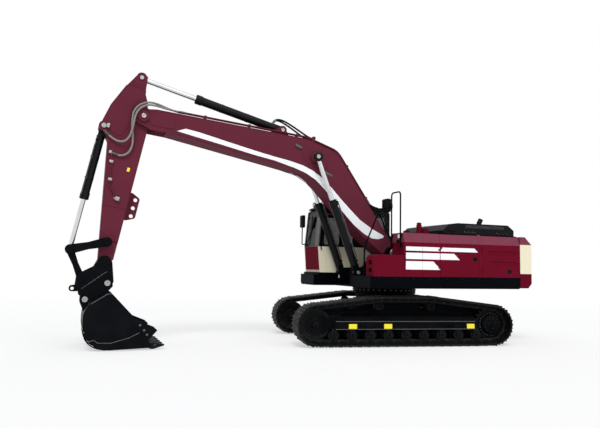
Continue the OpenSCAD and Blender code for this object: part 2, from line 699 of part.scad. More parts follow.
hoop_z = [2150, 3400];
hoop_foot_z = [2190, 2400];
module handrails() {
    // The rail rises from the deck ahead of the toolbox and leans back to the hoop
    rail = [[deck_front - 30, 1160, deck_z], [deck_front - 30, 1160, 2150], [915, 1110, 2580],
        [700, 1055, 3010], [hoop_x + 30, hoop_y[0] + 12, 3080]];
    color(black) {
        tube([[hoop_x, hoop_y[0], hoop_z[0]], [hoop_x, hoop_y[0], hoop_z[1]], [hoop_x, hoop_y[1], hoop_z[1]],
            [hoop_x, hoop_y[1], hoop_z[0]]], rail_r, 90);
        for (y = hoop_y, z = hoop_foot_z) block([tank_front, y - 12, z], [hoop_x, y + 12, z + 40]);
        tube(rail, rail_r, 90);
    }
}
// Mirror heads, middle [x, y, z] and half sizes; the near one hangs on the hoop, the far one on the cab
near_head = [tank_front + 80, 800, 3130];
near_head_half = [60, 125, 155];
far_head = [1590, -1465, 2850];
far_head_half = [40, 110, 160];
mirror_arm_r = 14;
module mirrors() {
    foot = cab_front + 43.7;
    color(black) {
        block(near_head - near_head_half, near_head + near_head_half);
        tube([[hoop_x, hoop_y[0] - rail_r * cos(18) - 0.2, near_head[2]],
            [hoop_x, near_head[1] + near_head_half[1] - 1, near_head[2]]], mirror_arm_r);
        block(far_head - far_head_half, far_head + far_head_half);
        tube([[foot, far_head[1], 2260], [far_head[0], far_head[1], 2260],
            far_head - [0, 0, far_head_half[2] - 1]], mirror_arm_r, 30);
    }
}
module work_lamps() {
    color(grey) for (y = [-1300, -720]) translate([cab_front - 190, y, cab_top]) {
        block([-30, -30, 0], [30, 30, 25]);
        translate([0, 0, 70]) rotate([0, 90, 0]) cylinder(r1 = 45, r2 = 62, h = 70);
    }
}

// Cab
cab_outer = house_half;
sill_z = deck_z + 50;
frame_top = cab_top - 70;
belt_z = 2190;
cab_side = [[cab_rear, sill_z], [cab_front, sill_z], [cab_front + 50, belt_z - 10],
    [cab_front - 40, frame_top - 60], [cab_front - 110, frame_top], [cab_rear + 40, frame_top],
    [cab_rear, frame_top - 80]];
module cab_base() {
    color(black) block([cab_rear, -cab_outer + 5, deck_z], [platform_front - 130, -cab_inner - 5, sill_z]);
}
window_rear = cab_rear + 110;
module cab_frame() {
    color(black) at_cab_hinges() mirror([1, 0, 0]) fixed_leaf();
    color(black) difference() {
        slab(-cab_outer, -cab_inner) polygon(cab_side);
        slab(-cab_outer + cab_wall, -cab_inner - cab_wall) polygon(inset(cab_side, cab_wall));
        slab(-cab_inner - cab_wall - 5, -cab_inner + 5) polygon(cab_window(window_rear, cab_front - 60));
        slab(-cab_outer - 5, -cab_outer + cab_wall + 5) polygon(cab_window(window_rear, door_rear - 80));
        slab(-cab_outer - 5, -cab_outer + cab_wall + 5) polygon(door_outline(0));
        block([cab_rear - 5, -cab_outer + 110, belt_z + 40],
            [cab_rear + cab_wall + 5, -cab_inner - 110, frame_top - 130]);
        block([cab_front - 250, -cab_outer + 70, sill_z + 60],
            [cab_front + 100, -cab_inner - 70, frame_top - 75]);
        block([cab_rear + 350, -cab_outer + 160, frame_top - 100],
            [cab_front - 420, -cab_inner - 160, frame_top + 50]);
    }
}
function cab_window(x0, x1) = rounded([[x0, belt_z + 40, 60], [x1, belt_z + 40, 60],
    [x1 - 60, frame_top - 80, 80], [x0, frame_top - 80, 80]]);
function door_outline(d) = rounded([[door_rear + d, sill_z + 55 + d, 40],
    [door_front - d, sill_z + 55 + d, 40], [door_front - d, belt_z, 100],
    [door_front - 70 - d, frame_top - 60 - d, 60], [door_rear + d, frame_top - 60 - d, 60]]);
module cab_roof() {
    color(black) {
        slab(-cab_outer + 10, -cab_inner - 10)
            polygon(rounded([[cab_rear + 10, frame_top], [cab_front - 60, frame_top],
                [cab_front - 60, frame_top + 30, 10], [cab_front - 140, cab_top, 60],
                [cab_rear + 80, cab_top, 60], [cab_rear + 10, frame_top + 35, 20]]));
    }
}
module cab_front_panel() {
    color(burgundy) slab(-cab_outer + 70 + fit, -cab_inner - 70 - fit)
        polygon([[cab_front - 20, sill_z + 60 + fit], [cab_front + 22, sill_z + 60 + fit],
            [cab_front + 62, belt_z], [cab_front + 20, belt_z]]);
}
pane = 0.5;            // gap round a pane
module cab_glass() {
    mid = cab_wall / 2;
    color([0.6, 0.75, 0.8, 0.4]) {
        slab(-cab_inner - mid - glass_t, -cab_inner - mid)
            polygon(inset(cab_window(window_rear, cab_front - 60), pane));
        slab(-cab_outer + mid, -cab_outer + mid + glass_t)
            polygon(inset(cab_window(window_rear, door_rear - 80), pane));
        block([cab_rear + mid, -cab_outer + 110 + pane, belt_z + 40 + pane],
            [cab_rear + mid + glass_t, -cab_inner - 110 - pane, frame_top - 130 - pane]);
        slab(-cab_outer + 70 + pane, -cab_inner - 70 - pane)
            polygon([[cab_front + 28, belt_z + 4], [cab_front + 28 + glass_t, belt_z + 4],
                [cab_front - 58 + glass_t, frame_top - 76], [cab_front - 58, frame_top - 76]]);
    }
}
seat_y = -(cab_outer + cab_inner) / 2;
cab_floor = sill_z + cab_wall;
seat_z = cab_floor + 330;
console_y = 330;
lever_tilt = 14;
lever_r = 16;
module cab_interior() {
    color(black) {
        block([250, seat_y - 200, cab_floor], [700, seat_y + 200, seat_z]);
        for (s = [-1, 1]) {
            block([300, seat_y + s * console_y - 60, cab_floor],
                [880, seat_y + s * console_y + 60, seat_z + 230]);
            translate([820, seat_y + s * console_y, seat_z + 229]) cylinder(r = 22, h = 190);
            translate([1240, seat_y + s * 90, cab_floor + lever_r * sin(lever_tilt) + fit])
                rotate([0, lever_tilt, 0]) cylinder(r = lever_r, h = 520);
        }
    }
}
module seat() {
    color(black) translate([0, 0, seat_z + fit]) slab(seat_y - 240, seat_y + 240)
        polygon(rounded([[230, 0], [760, 0], [780, 110, 50], [350, 100, 40], [220, 790, 40], [110, 790, 40],
            [200, 70]]));
}
cab_hinge_z = [1800, 2350, 2900];
module at_cab_hinges() {
    for (z = cab_hinge_z) translate([door_rear + door_gap / 2, -cab_outer - knuckle_r, z])
        mirror([0, 1, 0]) children();
}
module cab_door() {
    wall = cab_wall - 8;
    color(black) {
        difference() {
            slab(-cab_outer, -cab_outer + wall) polygon(door_outline(door_gap));
            slab(-cab_outer - 5, -cab_outer + wall + 5) polygon(door_window());
        }
        at_cab_hinges() moving_leaf();
        translate([door_front - 90, -cab_outer - 30, belt_z - 160]) block([-20, 0, 0], [20, 31, 180]);
    }
}
function door_window() = rounded([[door_rear + 90, belt_z - 330, 60], [door_front - 90, belt_z - 330, 60],
    [door_front - 90, belt_z + 10, 100], [door_front - 150, frame_top - 150, 60],
    [door_rear + 90, frame_top - 150, 60]]);
module cab_door_glass() {
    depth = 17;
    color([0.6, 0.75, 0.8, 0.4]) slab(-cab_outer + depth, -cab_outer + depth + glass_t)
        polygon(inset(door_window(), pane));
}

// Boom: outline corners along and above the chord from foot to arm pin, [along, above, radius]
boom_outline = [[60, 190], [2290, 1500, 350], [3080, 1420, 900], [boom_len - 180, 270, 200],
    [boom_len + 40, 150], [boom_len - 40, -180], [boom_len - 230, -180, 150], [boom_len - 610, -55, 400],
    [2700, 720, 700], [930, 30, 200], [60, -170]];
fork_s = boom_len - 560;
boss_r = 190;
module boom() {
    lug = [[arm_base_at[0] - 330, 1180], arm_base_at + [-95, 20], arm_base_at + [95, 20],
        [arm_base_at[0] + 330, 960]];
    color(burgundy) in_boom() difference() {
        union() {
            slab(-boom_half, boom_half) union() {
                polygon(rounded([for (i = [len(boom_outline) - 1:-1:0]) boom_outline[i]]));
                circle(r = boss_r);
                translate([boom_len, 0]) circle(r = boss_r);
            }
            both() {
                slab(fork_in, fork_in + 40) union() { polygon(lug); translate(arm_base_at) circle(r = 97); }
                bar(boom_rod_at, 130, boom_half - 1, boom_cyl_y - boom_eye_half - 5);
                bar([boom_len, 0], 120, boom_half - 1, boom_half + 30);
            }
            bar(arm_base_at, cyl_pin_r, -fork_in - 45, fork_in + 45);
        }
        block([fork_s, -arm_half - clear, -600], [boom_len + 400, arm_half + clear, 900]);
        slab(-tail_half - clear, tail_half + clear)
            polygon([[fork_s - 240, 600], [fork_s - 240, 478], [fork_s + 1, 320], [fork_s + 1, 600]]);
        bar([0, 0], foot_pin_r + fit, -boom_half - 5, boom_half + 5);
    }
    color(steel) in_boom() bar([boom_len, 0], arm_pin_r, -boom_half - 40, boom_half + 40);
}
// Steel pipes over the boom's three top plates; clamps and the junction sit at [plate, distance along it]
boom_top = [for (c = boom_outline) [c[0], c[1]]];
function plate_dir(i) = (boom_top[i + 1] - boom_top[i]) / norm(boom_top[i + 1] - boom_top[i]);
function plate_point(i, s, lift) = boom_top[i] + plate_dir(i) * s + turned(plate_dir(i), 90) * lift;
pipe_y = [140, 190];
pipe_r = 19;
pipe_lift = 64;
pipe_start = 1200;
pipe_end = norm(boom_top[3] - boom_top[2]) - 540;
pipe_clamps = [[0, 1300], [0, 2190], [2, 250], [2, 1400], [2, pipe_end - 500]];
junction = [1, 640];
clamp_half = 25;
clamp_edge = 27;
module on_plate(c) {
    p = plate_point(c[0], c[1], fit);
    translate([p[0], 0, p[1]]) rotate([0, -heading(plate_dir(c[0])), 0]) children();
}
module boom_pipes() {
    corners = inset(boom_top, pipe_lift);
    run = [plate_point(0, pipe_start, pipe_lift), corners[1], corners[2],
        plate_point(2, pipe_end, pipe_lift)];
    color(grey) in_boom() both() {
        for (y = pipe_y) tube([for (p = run) [p[0], y, p[1]]], pipe_r, 150, 8);
        for (c = pipe_clamps) on_plate(c)
            block([-clamp_half, pipe_y[0] - clamp_edge, 0],
                [clamp_half, pipe_y[1] + clamp_edge, pipe_lift + 26]);
        on_plate(junction) block([-30, 60, 0], [30, pipe_y[1] + clamp_edge, pipe_lift + 76]);
    }
}

// Cylinders. A barrel from its base pin towards the rod's pin; a rod from the eye back into the barrel.
module aimed(a, b) { translate([a[0], 0, a[1]]) rotate([0, -heading(b - a), 0]) children(); }
// The barrel's foot is as narrow as its eye as far as the lugs reach
module barrel(a, b, r, rod_r, rod_out, eye_r, half, neck) {
    length = norm(b - a) - rod_out;
    gland = 130;
    aimed(a, b) difference() {
        union() {
            bar([0, 0], eye_r, -half, half);
            block([0, -half, -r + 10], [neck + 5, half, r - 10]);
            translate([neck, 0, 0]) rotate([0, 90, 0]) cylinder(r = r, h = length - neck - gland / 2);
            translate([length - gland, 0, 0]) rotate([0, 90, 0]) cylinder(r = r + 12, h = gland);
        }
        bar([0, 0], cyl_pin_r + fit, -half - 5, half + 5);
        translate([neck + barrel_base, 0, 0]) rotate([0, 90, 0]) cylinder(r = rod_r + fit, h = length);
    }
}
module rod(a, b, r, rod_out, rod_in, eye_r, half) {
    span = norm(b - a);
    length = rod_out + rod_in;
    aimed(a, b) {
        translate([span - length, 0, 0]) rotate([0, 90, 0]) cylinder(r = r, h = length - eye_r / 2);
        bar([span, 0], eye_r, -half, half);
    }
}
// How far each rod stands out of its barrel and how far it reaches in, as built
boom_rod_out = 1058;
boom_rod_in = 630;
arm_rod_out = 1226;
arm_rod_in = 724;
bucket_rod_out = 1062;
bucket_rod_in = 545;
barrel_base = 20;
boom_neck = 175;
arm_neck = 185;
bucket_neck = 195;
boom_eye_r = 100;
arm_eye_r = 105;
bucket_eye_r = 85;
module boom_barrels() {
    color(black) both() translate([0, boom_cyl_y, 0])
        barrel(boom_base_pin, boom_rod_pin, boom_barrel_r, boom_rod_r, boom_rod_out, boom_eye_r,
            boom_eye_half, boom_neck);
}
module boom_rods() {
    color(steel) both() translate([0, boom_cyl_y, 0])
        rod(boom_base_pin, boom_rod_pin, boom_rod_r, boom_rod_out, boom_rod_in, boom_eye_r, boom_eye_half);
}
module arm_barrel() {
    color(black) barrel(arm_base_pin, arm_rod_pin, arm_barrel_r, arm_rod_r, arm_rod_out, arm_eye_r,
        eye_half, arm_neck);
}
module arm_rod() {
    color(steel) rod(arm_base_pin, arm_rod_pin, arm_rod_r, arm_rod_out, arm_rod_in, arm_eye_r, eye_half);
}
module bucket_barrel() {
    color(black) barrel(bucket_base_pin, rod_eye_pin, bucket_barrel_r, bucket_rod_r, bucket_rod_out,
        bucket_eye_r, eye_half, bucket_neck);
}
module bucket_rod() {
    color(steel) rod(bucket_base_pin, rod_eye_pin, bucket_rod_r, bucket_rod_out, bucket_rod_in, bucket_eye_r,
        eye_half);
}

// Arm: outline corners along its axis from arm pin to nose pin and ahead of it, [along, ahead, radius]
arm_outline = [[-900, 110], [-480, 70, 120], [-320, -15, 120], [240, -150, 200], [arm_len - 100, -150],
    [arm_len - 30, 140], [660, 565, 150], [520, 690], [330, 770], [-60, 690, 200], [-560, 490, 150],
    [-890, 320]];
thumb_x = arm_len - 1555;
thumb_hole = [[thumb_x + 130, -287], [thumb_x + 307, -279], [thumb_x + 479, -280]];
module arm() {
    color(burgundy) in_arm() difference() {
        union() {
            difference() {
                slab(-arm_half, arm_half) union() {
                    polygon(rounded(arm_outline));
                    circle(r = boss_r);
                    translate(arm_rod_at) circle(r = 110);
                    translate(bucket_base_at) circle(r = 100);
                    translate([arm_len, 0]) circle(r = 155);
                }
                both() block([tip_link_at[0] - 45, nose_half, -400], [arm_len + 300, arm_half + 5, 400]);
                both() block([-1100, tail_half, -300], [-560, arm_half + 5, 700]);
            }
            slab(-20, 20) polygon(rounded([[thumb_x, -140], [thumb_x, -200], [thumb_x + 80, -370, 60],
                [thumb_x + 510, -370, 60], [thumb_x + 590, -200], [thumb_x + 590, -140]]));
            bar(tip_link_at, 100, -tip_in + 5, tip_in - 5);
            bar(tip_link_at, link_pin_r, -tip_out - 20, tip_out + 20);
            both() bar(tip_link_at, link_pin_r + 18, tip_out + 5, tip_out + 20);
        }
        block([-1100, -fork_in, -300], [-600, fork_in, 700]);
        slab(-fork_in, fork_in) polygon([[230, 560], [620, 560], [640, 900], [230, 900]]);
        bar([0, 0], arm_pin_r + fit, -arm_half - 5, arm_half + 5);
        bar([arm_len, 0], link_pin_r + 5 + fit, -arm_half - 5, arm_half + 5);
        for (h = thumb_hole) bar(h, thumb_bore_r, -60, 60);
    }
    color(steel) in_arm() {
        bar(bucket_base_at, cyl_pin_r, -arm_half - 12, arm_half + 12);
        both() bar(arm_rod_at, 60, tail_half - 2, tail_half + 10);
    }
}
// A link's outline with round ends, narrower in its middle
module waisted(length, r, waist) {
    circle(r = r);
    translate([length, 0]) circle(r = r);
    polygon([[0, -r], [length / 2, -waist], [length, -r], [length, r], [length / 2, waist], [0, r]]);
}
module tipping_links() {
    a = rod_eye_pin - tip_link_pin;
    color(black) both() translate([tip_link_pin[0], 0, tip_link_pin[1]]) rotate([0, -heading(a), 0])
        difference() {
            union() {
                slab(tip_in, tip_out) waisted(tip_link_len, 95, 70);
                bar([tip_link_len, 0], 75, fork_out + clear, tip_out + 25);
            }
            bar([0, 0], link_pin_r + fit, tip_in - 5, tip_out + 5);
        }
}
module h_link() {
    a = rod_eye_pin - h_link_pin;
    color(black) translate([h_link_pin[0], 0, h_link_pin[1]]) rotate([0, -heading(a), 0]) difference() {
        union() {
            both() slab(fork_in, fork_out) waisted(h_link_len, 78, 58);
            bar([0, 0], 78, -nose_half + 5, nose_half - 5);
            block([40, -fork_in - 1, -55], [190, fork_in + 1, 55]);
        }
        bar([0, 0], link_pin_r + fit, -nose_half, nose_half);
    }
}
module coupler() {
    h = h_link_pin - nose_pin;
    b = bucket_pin - nose_pin;
    k = hook_pin - nose_pin;
    ear = rounded([[-150, 40, 60], [-60, 160, 90], [90, 150, 90], [200, -60, 60], [h[0] + 95, h[1] + 90, 80],
        [h[0] + 120, h[1] - 120, 60], [k[0] + 130, k[1] + 160, 60], [k[0] + 150, k[1] + 20, 60],
        [k[0] + 40, k[1] + 75], [k[0] - 90, k[1] + 40, 40], [b[0] + 160, b[1] - 90, 60],
        [b[0] - 20, b[1] - 120, 60], [b[0] - 125, b[1] + 20, 60]]);
    ccw = [for (i = [len(ear) - 1:-1:0]) ear[i]];
    color(black) in_tool() difference() {
        union() {
            both() slab(ear_in, ear_out) polygon(ccw);
            slab(-ear_in - 1, ear_in + 1) polygon(rounded([[b[0] + 90, b[1] + 60, 30],
                [k[0] - 60, k[1] + 100, 30], [k[0] + 60, k[1] + 170, 30], [h[0] + 30, h[1] - 150, 30],
                [60, -230, 60]]));
            bar([0, 0], link_pin_r + 5, -ear_out - 12, ear_out + 12);
            bar(h, link_pin_r, -ear_out - 12, ear_out + 12);
            slab(-25, 25) polygon(rounded([[h[0] - 10, h[1] - 235], [h[0] - 40, h[1] - 170],
                [h[0] + 100, h[1] - 110], [h[0] + 230, h[1] - 130, 60], [h[0] + 230, h[1] - 250, 60],
                [h[0] + 100, h[1] - 250]]));
        }
        bar(b, link_pin_r + fit, -ear_out - 5, ear_out + 5);
        bar(k, link_pin_r + fit, -ear_out - 5, ear_out + 5);
        bar([h[0] + 165, h[1] - 190], 32, -60, 60);
    }
}
// Bucket outline about the bucket pin, [x, z, radius], from the mouth's top round the lip and the heel
bucket_outline = [[-40, -150], [-560, -700], [-850, -1190], [-830, -1245], [480, -1290, 520],
    [440, -560, 250], [330, -370, 120]];
module in_bucket() { translate([bucket_pin[0], 0, bucket_pin[1]]) children(); }
module bucket() {
    outline = rounded(bucket_outline);
    hook = hook_pin - bucket_pin;
    ear_y = ear_out + clear;
    color(black) in_bucket() {
        difference() {
            slab(-bucket_half, bucket_half) polygon(outline);
            slab(-bucket_half + bucket_wall, bucket_half - bucket_wall) bucket_hollow(outline);
        }
        both() slab(ear_y, ear_y + 45)
            polygon(rounded([[-110, -60, 40], [-90, 90, 80], [90, 90, 80], [hook[0] + 90, hook[1] + 60, 80],
                [hook[0] + 95, hook[1] - 60, 60], [430, -560], [380, -520], [300, -340], [-20, -160]]));
        bar([0, 0], link_pin_r, -ear_y - 60, ear_y + 60);
        bar(hook, link_pin_r, -ear_y - 60, ear_y + 60);
        both() slab(bucket_half - 1, bucket_half + 22)
            polygon([[-470, -640], [-560, -700], [-880, -830], [-960, -905], [-790, -1090], [-760, -1050],
                [-600, -900], [-440, -700]]);
    }
}
// The space inside, with the mouth cut open from the top plate's end to the lip
module bucket_hollow(outline) {
    polygon(inset(outline, bucket_wall));
    polygon([[100, -280], [-52, -176], [-300, -176], [-1300, -700], [-1200, -1170], [-845, -1195],
        [-500, -1210]]);
}
// Teeth hug the lip; outline about the lip's edge, [x, z]
lip = [-840, -1218];
tooth_outline = [[60, -20], [120, 45], [-10, 78], [-80, 75], [-275, 28], [-275, 8], [-60, -55], [0, -52]];
tooth_half = 48;
module bucket_teeth() {
    outline = rounded(bucket_outline);
    color(black) in_bucket() for (i = [0:tooth_n - 1])
        let (y = (2 * i / (tooth_n - 1) - 1) * (bucket_half - bucket_wall - tooth_half - clear))
        slab(y - tooth_half, y + tooth_half) difference() {
            polygon([for (p = tooth_outline) lip + p]);
            difference() {
                polygon(inset(outline, -fit));
                translate([0, fit]) bucket_hollow(outline);
            }
        }
}

// Hoses, the middle line of each. The first two lead from the boom's pipes over its tip to the arm, the next
// two from the pipes back to the house, and the last two, [along, across, above] the boom, to its cylinder.
hose_r = 21;
cylinder_hose_path = [[5045, 190, 4955.1], [5105, 190, 4960.6], [5205, 200, 4967], [5400, 240, 4985],
    [5600, 285, 5010],
    [5760, 318, 5010], [5890, 335, 4960], [5990, 342, 4860], [6045, 340, 4720], [6070, 334, 4560],
    [6105, 325, 4400], [6155, 305, 4280], [6235, 288, 4205], [6340, 270, 4195], [6440, 254, 4235],
    [6530, 242, 4300], [6600, 234, 4370]];
pipe_hose_path = [[5045, 140, 4955.1], [5105, 140, 4960.6], [5195, 152, 4975], [5380, 195, 5012],
    [5560, 240, 5058],
    [5720, 275, 5075], [5860, 292, 5045], [5985, 300, 4965], [6070, 302, 4825], [6092, 298, 4650],
    [6085, 286, 4470], [6068, 272, 4290], [6075, 262, 4130], [6130, 252, 3995], [6225, 244, 3920],
    [6330, 237, 3908], [6430, 230, 3940]];
foot_hose_near_path = [[558.2, 190, 3268.3], [530, 190, 3227.8], [485, 190, 3186], [400, 195, 3145],
    [290, 200, 3110],
    [185, 205, 3025], [110, 205, 2890], [65, 205, 2730], [20, 205, 2570], [-45, 200, 2430],
    [-140, 195, 2325], [-255, 190, 2240], [-335, 190, 2176], [-390, 190, 2132], [-420, 190, 2120],
    [-449.4, 190, 2120]];
foot_hose_mid_path = [[558.2, 140, 3268.3], [530, 140, 3227.8], [487, 140, 3180], [405, 138, 3122],
    [300, 134, 3070],
    [200, 130, 2985], [128, 128, 2860], [82, 128, 2710], [36, 128, 2560], [-28, 130, 2425],
    [-120, 134, 2318], [-235, 138, 2228], [-325, 140, 2156], [-385, 140, 2110], [-418, 140, 2098],
    [-449.4, 140, 2098]];
arm_cylinder_hose_path = [[3932, 45, 1430], [3918, 48, 1485], [3865, 55, 1538], [3775, 62, 1565],
    [3660, 70, 1572], [3520, 78, 1566], [3370, 85, 1554], [3220, 92, 1540], [3100, 98, 1530],
    [3017.2, 100, 1530], [2967.5, 100, 1535]];
module hose(points) { color(black) tube(points, hose_r); }
module cylinder_hose() { hose(cylinder_hose_path); }
module pipe_hose() { hose(pipe_hose_path); }
module foot_hose_near() { hose(foot_hose_near_path); }
module foot_hose_mid() { hose(foot_hose_mid_path); }
module arm_cylinder_hose_near() { in_boom() hose(arm_cylinder_hose_path); }
module arm_cylinder_hose_far() { mirror([0, 1, 0]) arm_cylinder_hose_near(); }

car_body();
slew_ring();
track_frames();
track_near();
track_far();
idlers();
sprockets();
final_drives();
carrier_rollers();
track_rollers();
main_frame();
deck_rim();
house_frame();
counterweight();
toolbox();
fuel_tank();
hydraulic_tank();
engine();
handrails();
mirrors();
work_lamps();
cab_base();
cab_frame();
cab_roof();
cab_front_panel();
cab_glass();
cab_interior();
seat();
cab_door();
cab_door_glass();
hood();
exhaust_stack();
near_front_door();
near_rear_door();
far_front_door();
far_rear_door();
boom();
boom_pipes();
boom_barrels();
boom_rods();
arm();
arm_barrel();
arm_rod();
tipping_links();
h_link();
bucket_barrel();
bucket_rod();
coupler();
bucket();
bucket_teeth();
cylinder_hose();
pipe_hose();
foot_hose_near();
foot_hose_mid();
arm_cylinder_hose_near();
arm_cylinder_hose_far();
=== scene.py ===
"""Looks of a crawler excavator: finishes, hardware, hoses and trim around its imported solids."""

from __future__ import annotations

import json
import logging
import math
from dataclasses import dataclass, field, replace
from enum import Enum
from typing import Any, Iterable, Sequence

import bmesh
import bpy
from mathutils import Matrix, Vector

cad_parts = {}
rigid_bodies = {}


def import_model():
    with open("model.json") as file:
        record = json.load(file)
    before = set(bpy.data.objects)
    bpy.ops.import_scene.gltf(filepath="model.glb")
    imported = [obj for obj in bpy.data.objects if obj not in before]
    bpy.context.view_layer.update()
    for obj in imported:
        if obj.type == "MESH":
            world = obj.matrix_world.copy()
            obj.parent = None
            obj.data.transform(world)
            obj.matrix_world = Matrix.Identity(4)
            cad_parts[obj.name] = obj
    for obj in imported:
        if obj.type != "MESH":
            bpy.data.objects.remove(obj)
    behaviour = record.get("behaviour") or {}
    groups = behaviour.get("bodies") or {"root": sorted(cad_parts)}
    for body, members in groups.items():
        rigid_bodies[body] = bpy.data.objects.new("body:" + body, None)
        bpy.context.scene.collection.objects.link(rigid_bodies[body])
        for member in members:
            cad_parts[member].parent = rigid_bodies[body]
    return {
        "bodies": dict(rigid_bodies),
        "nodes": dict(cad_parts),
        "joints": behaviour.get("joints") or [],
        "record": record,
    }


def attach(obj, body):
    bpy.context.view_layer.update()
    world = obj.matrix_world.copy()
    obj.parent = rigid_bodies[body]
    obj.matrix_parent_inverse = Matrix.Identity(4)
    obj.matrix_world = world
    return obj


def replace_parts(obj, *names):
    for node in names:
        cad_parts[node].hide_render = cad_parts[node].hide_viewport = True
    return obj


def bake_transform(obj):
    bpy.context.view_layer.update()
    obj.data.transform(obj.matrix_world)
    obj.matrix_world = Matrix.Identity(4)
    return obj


LOG = logging.getLogger("excavator")
Point = Sequence[float]
Outline = Sequence[tuple[float, float]]
Corners = Sequence[tuple[float, float, float]]
Colour = tuple[float, float, float]
NEAR, FAR = SIDES = (1, -1)
X, Y, Z = Vector((1, 0, 0)), Vector((0, 1, 0)), Vector((0, 0, 1))
# How far trim stands clear of the face behind it, how high a film lies on a face, and the film's chamfer
CLEAR, FILM, FILM_EDGE = 0.0005, 0.0014, 0.0004
# Half the width over which one colour of paint turns into the next
BLUR = 0.003
# Where the curl cylinder's rod meets the tipping links
CURL_EYE = Vector((7.178988, 0, 1.953972))


class Slot(Enum):
    """Material slots of the record that a piece can take its finish from."""

    BURGUNDY = "burgundy_paint"
    BLACK = "black_paint"
    STEEL = "track_steel"
    GREY = "grey_metal"
    CHROME = "chrome"
    GLASS = "glass"
    PLASTIC = "black_plastic"
    RUBBER = "hose_rubber"
    FABRIC = "seat_fabric"


class Axis(Enum):
    """Axes of the row frame: forward, to the tank side, up."""

    X = "X"
    Y = "Y"
    Z = "Z"


def srgb(*levels: int) -> Colour:
    """Turn an 8-bit colour into linear light.

    Args:
        levels: Red, green and blue from 0 to 255.

    Returns:
        The three linear values.
    """
    shares = [level / 255 for level in levels]
    return tuple(s / 12.92 if s <= 0.04045 else ((s + 0.055) / 1.055) ** 2.4 for s in shares)


class Wire:
    """A shader output whose arithmetic reads as plain operators."""

    def __init__(self, graph: Graph, socket: bpy.types.NodeSocket | None) -> None:
        """Wrap a socket.

        Args:
            graph: The shader the socket belongs to.
            socket: The output to read.
        """
        self.graph = graph
        self.socket = socket

    def _calc(self, operation: str, first: Any, second: Any) -> Wire:
        """Join two values by one Math node."""
        return self.graph.node("ShaderNodeMath", {"operation": operation}, {0: first, 1: second})

    def __add__(self, other: Any) -> Wire:
        """This plus another value."""
        return self._calc("ADD", self, other)

    def __radd__(self, other: Any) -> Wire:
        """Another value plus this."""
        return self._calc("ADD", other, self)

    def __sub__(self, other: Any) -> Wire:
        """This less another value."""
        return self._calc("SUBTRACT", self, other)

    def __rsub__(self, other: Any) -> Wire:
        """Another value less this."""
        return self._calc("SUBTRACT", other, self)

    def __mul__(self, other: Any) -> Wire:
        """This times another value."""
        return self._calc("MULTIPLY", self, other)

    def __rmul__(self, other: Any) -> Wire:
        """Another value times this."""
        return self._calc("MULTIPLY", other, self)

    def most(self, other: Any) -> Wire:
        """The larger of this and another value."""
        return self._calc("MAXIMUM", self, other)

    def ramp(self, low: float, high: float) -> Wire:
        """Ease from 0 at low to 1 at high."""
        inputs = {"Value": self, "From Min": low, "From Max": high, "To Min": 0.0, "To Max": 1.0}
        return self.graph.node("ShaderNodeMapRange", {"interpolation_type": "SMOOTHSTEP"}, inputs)


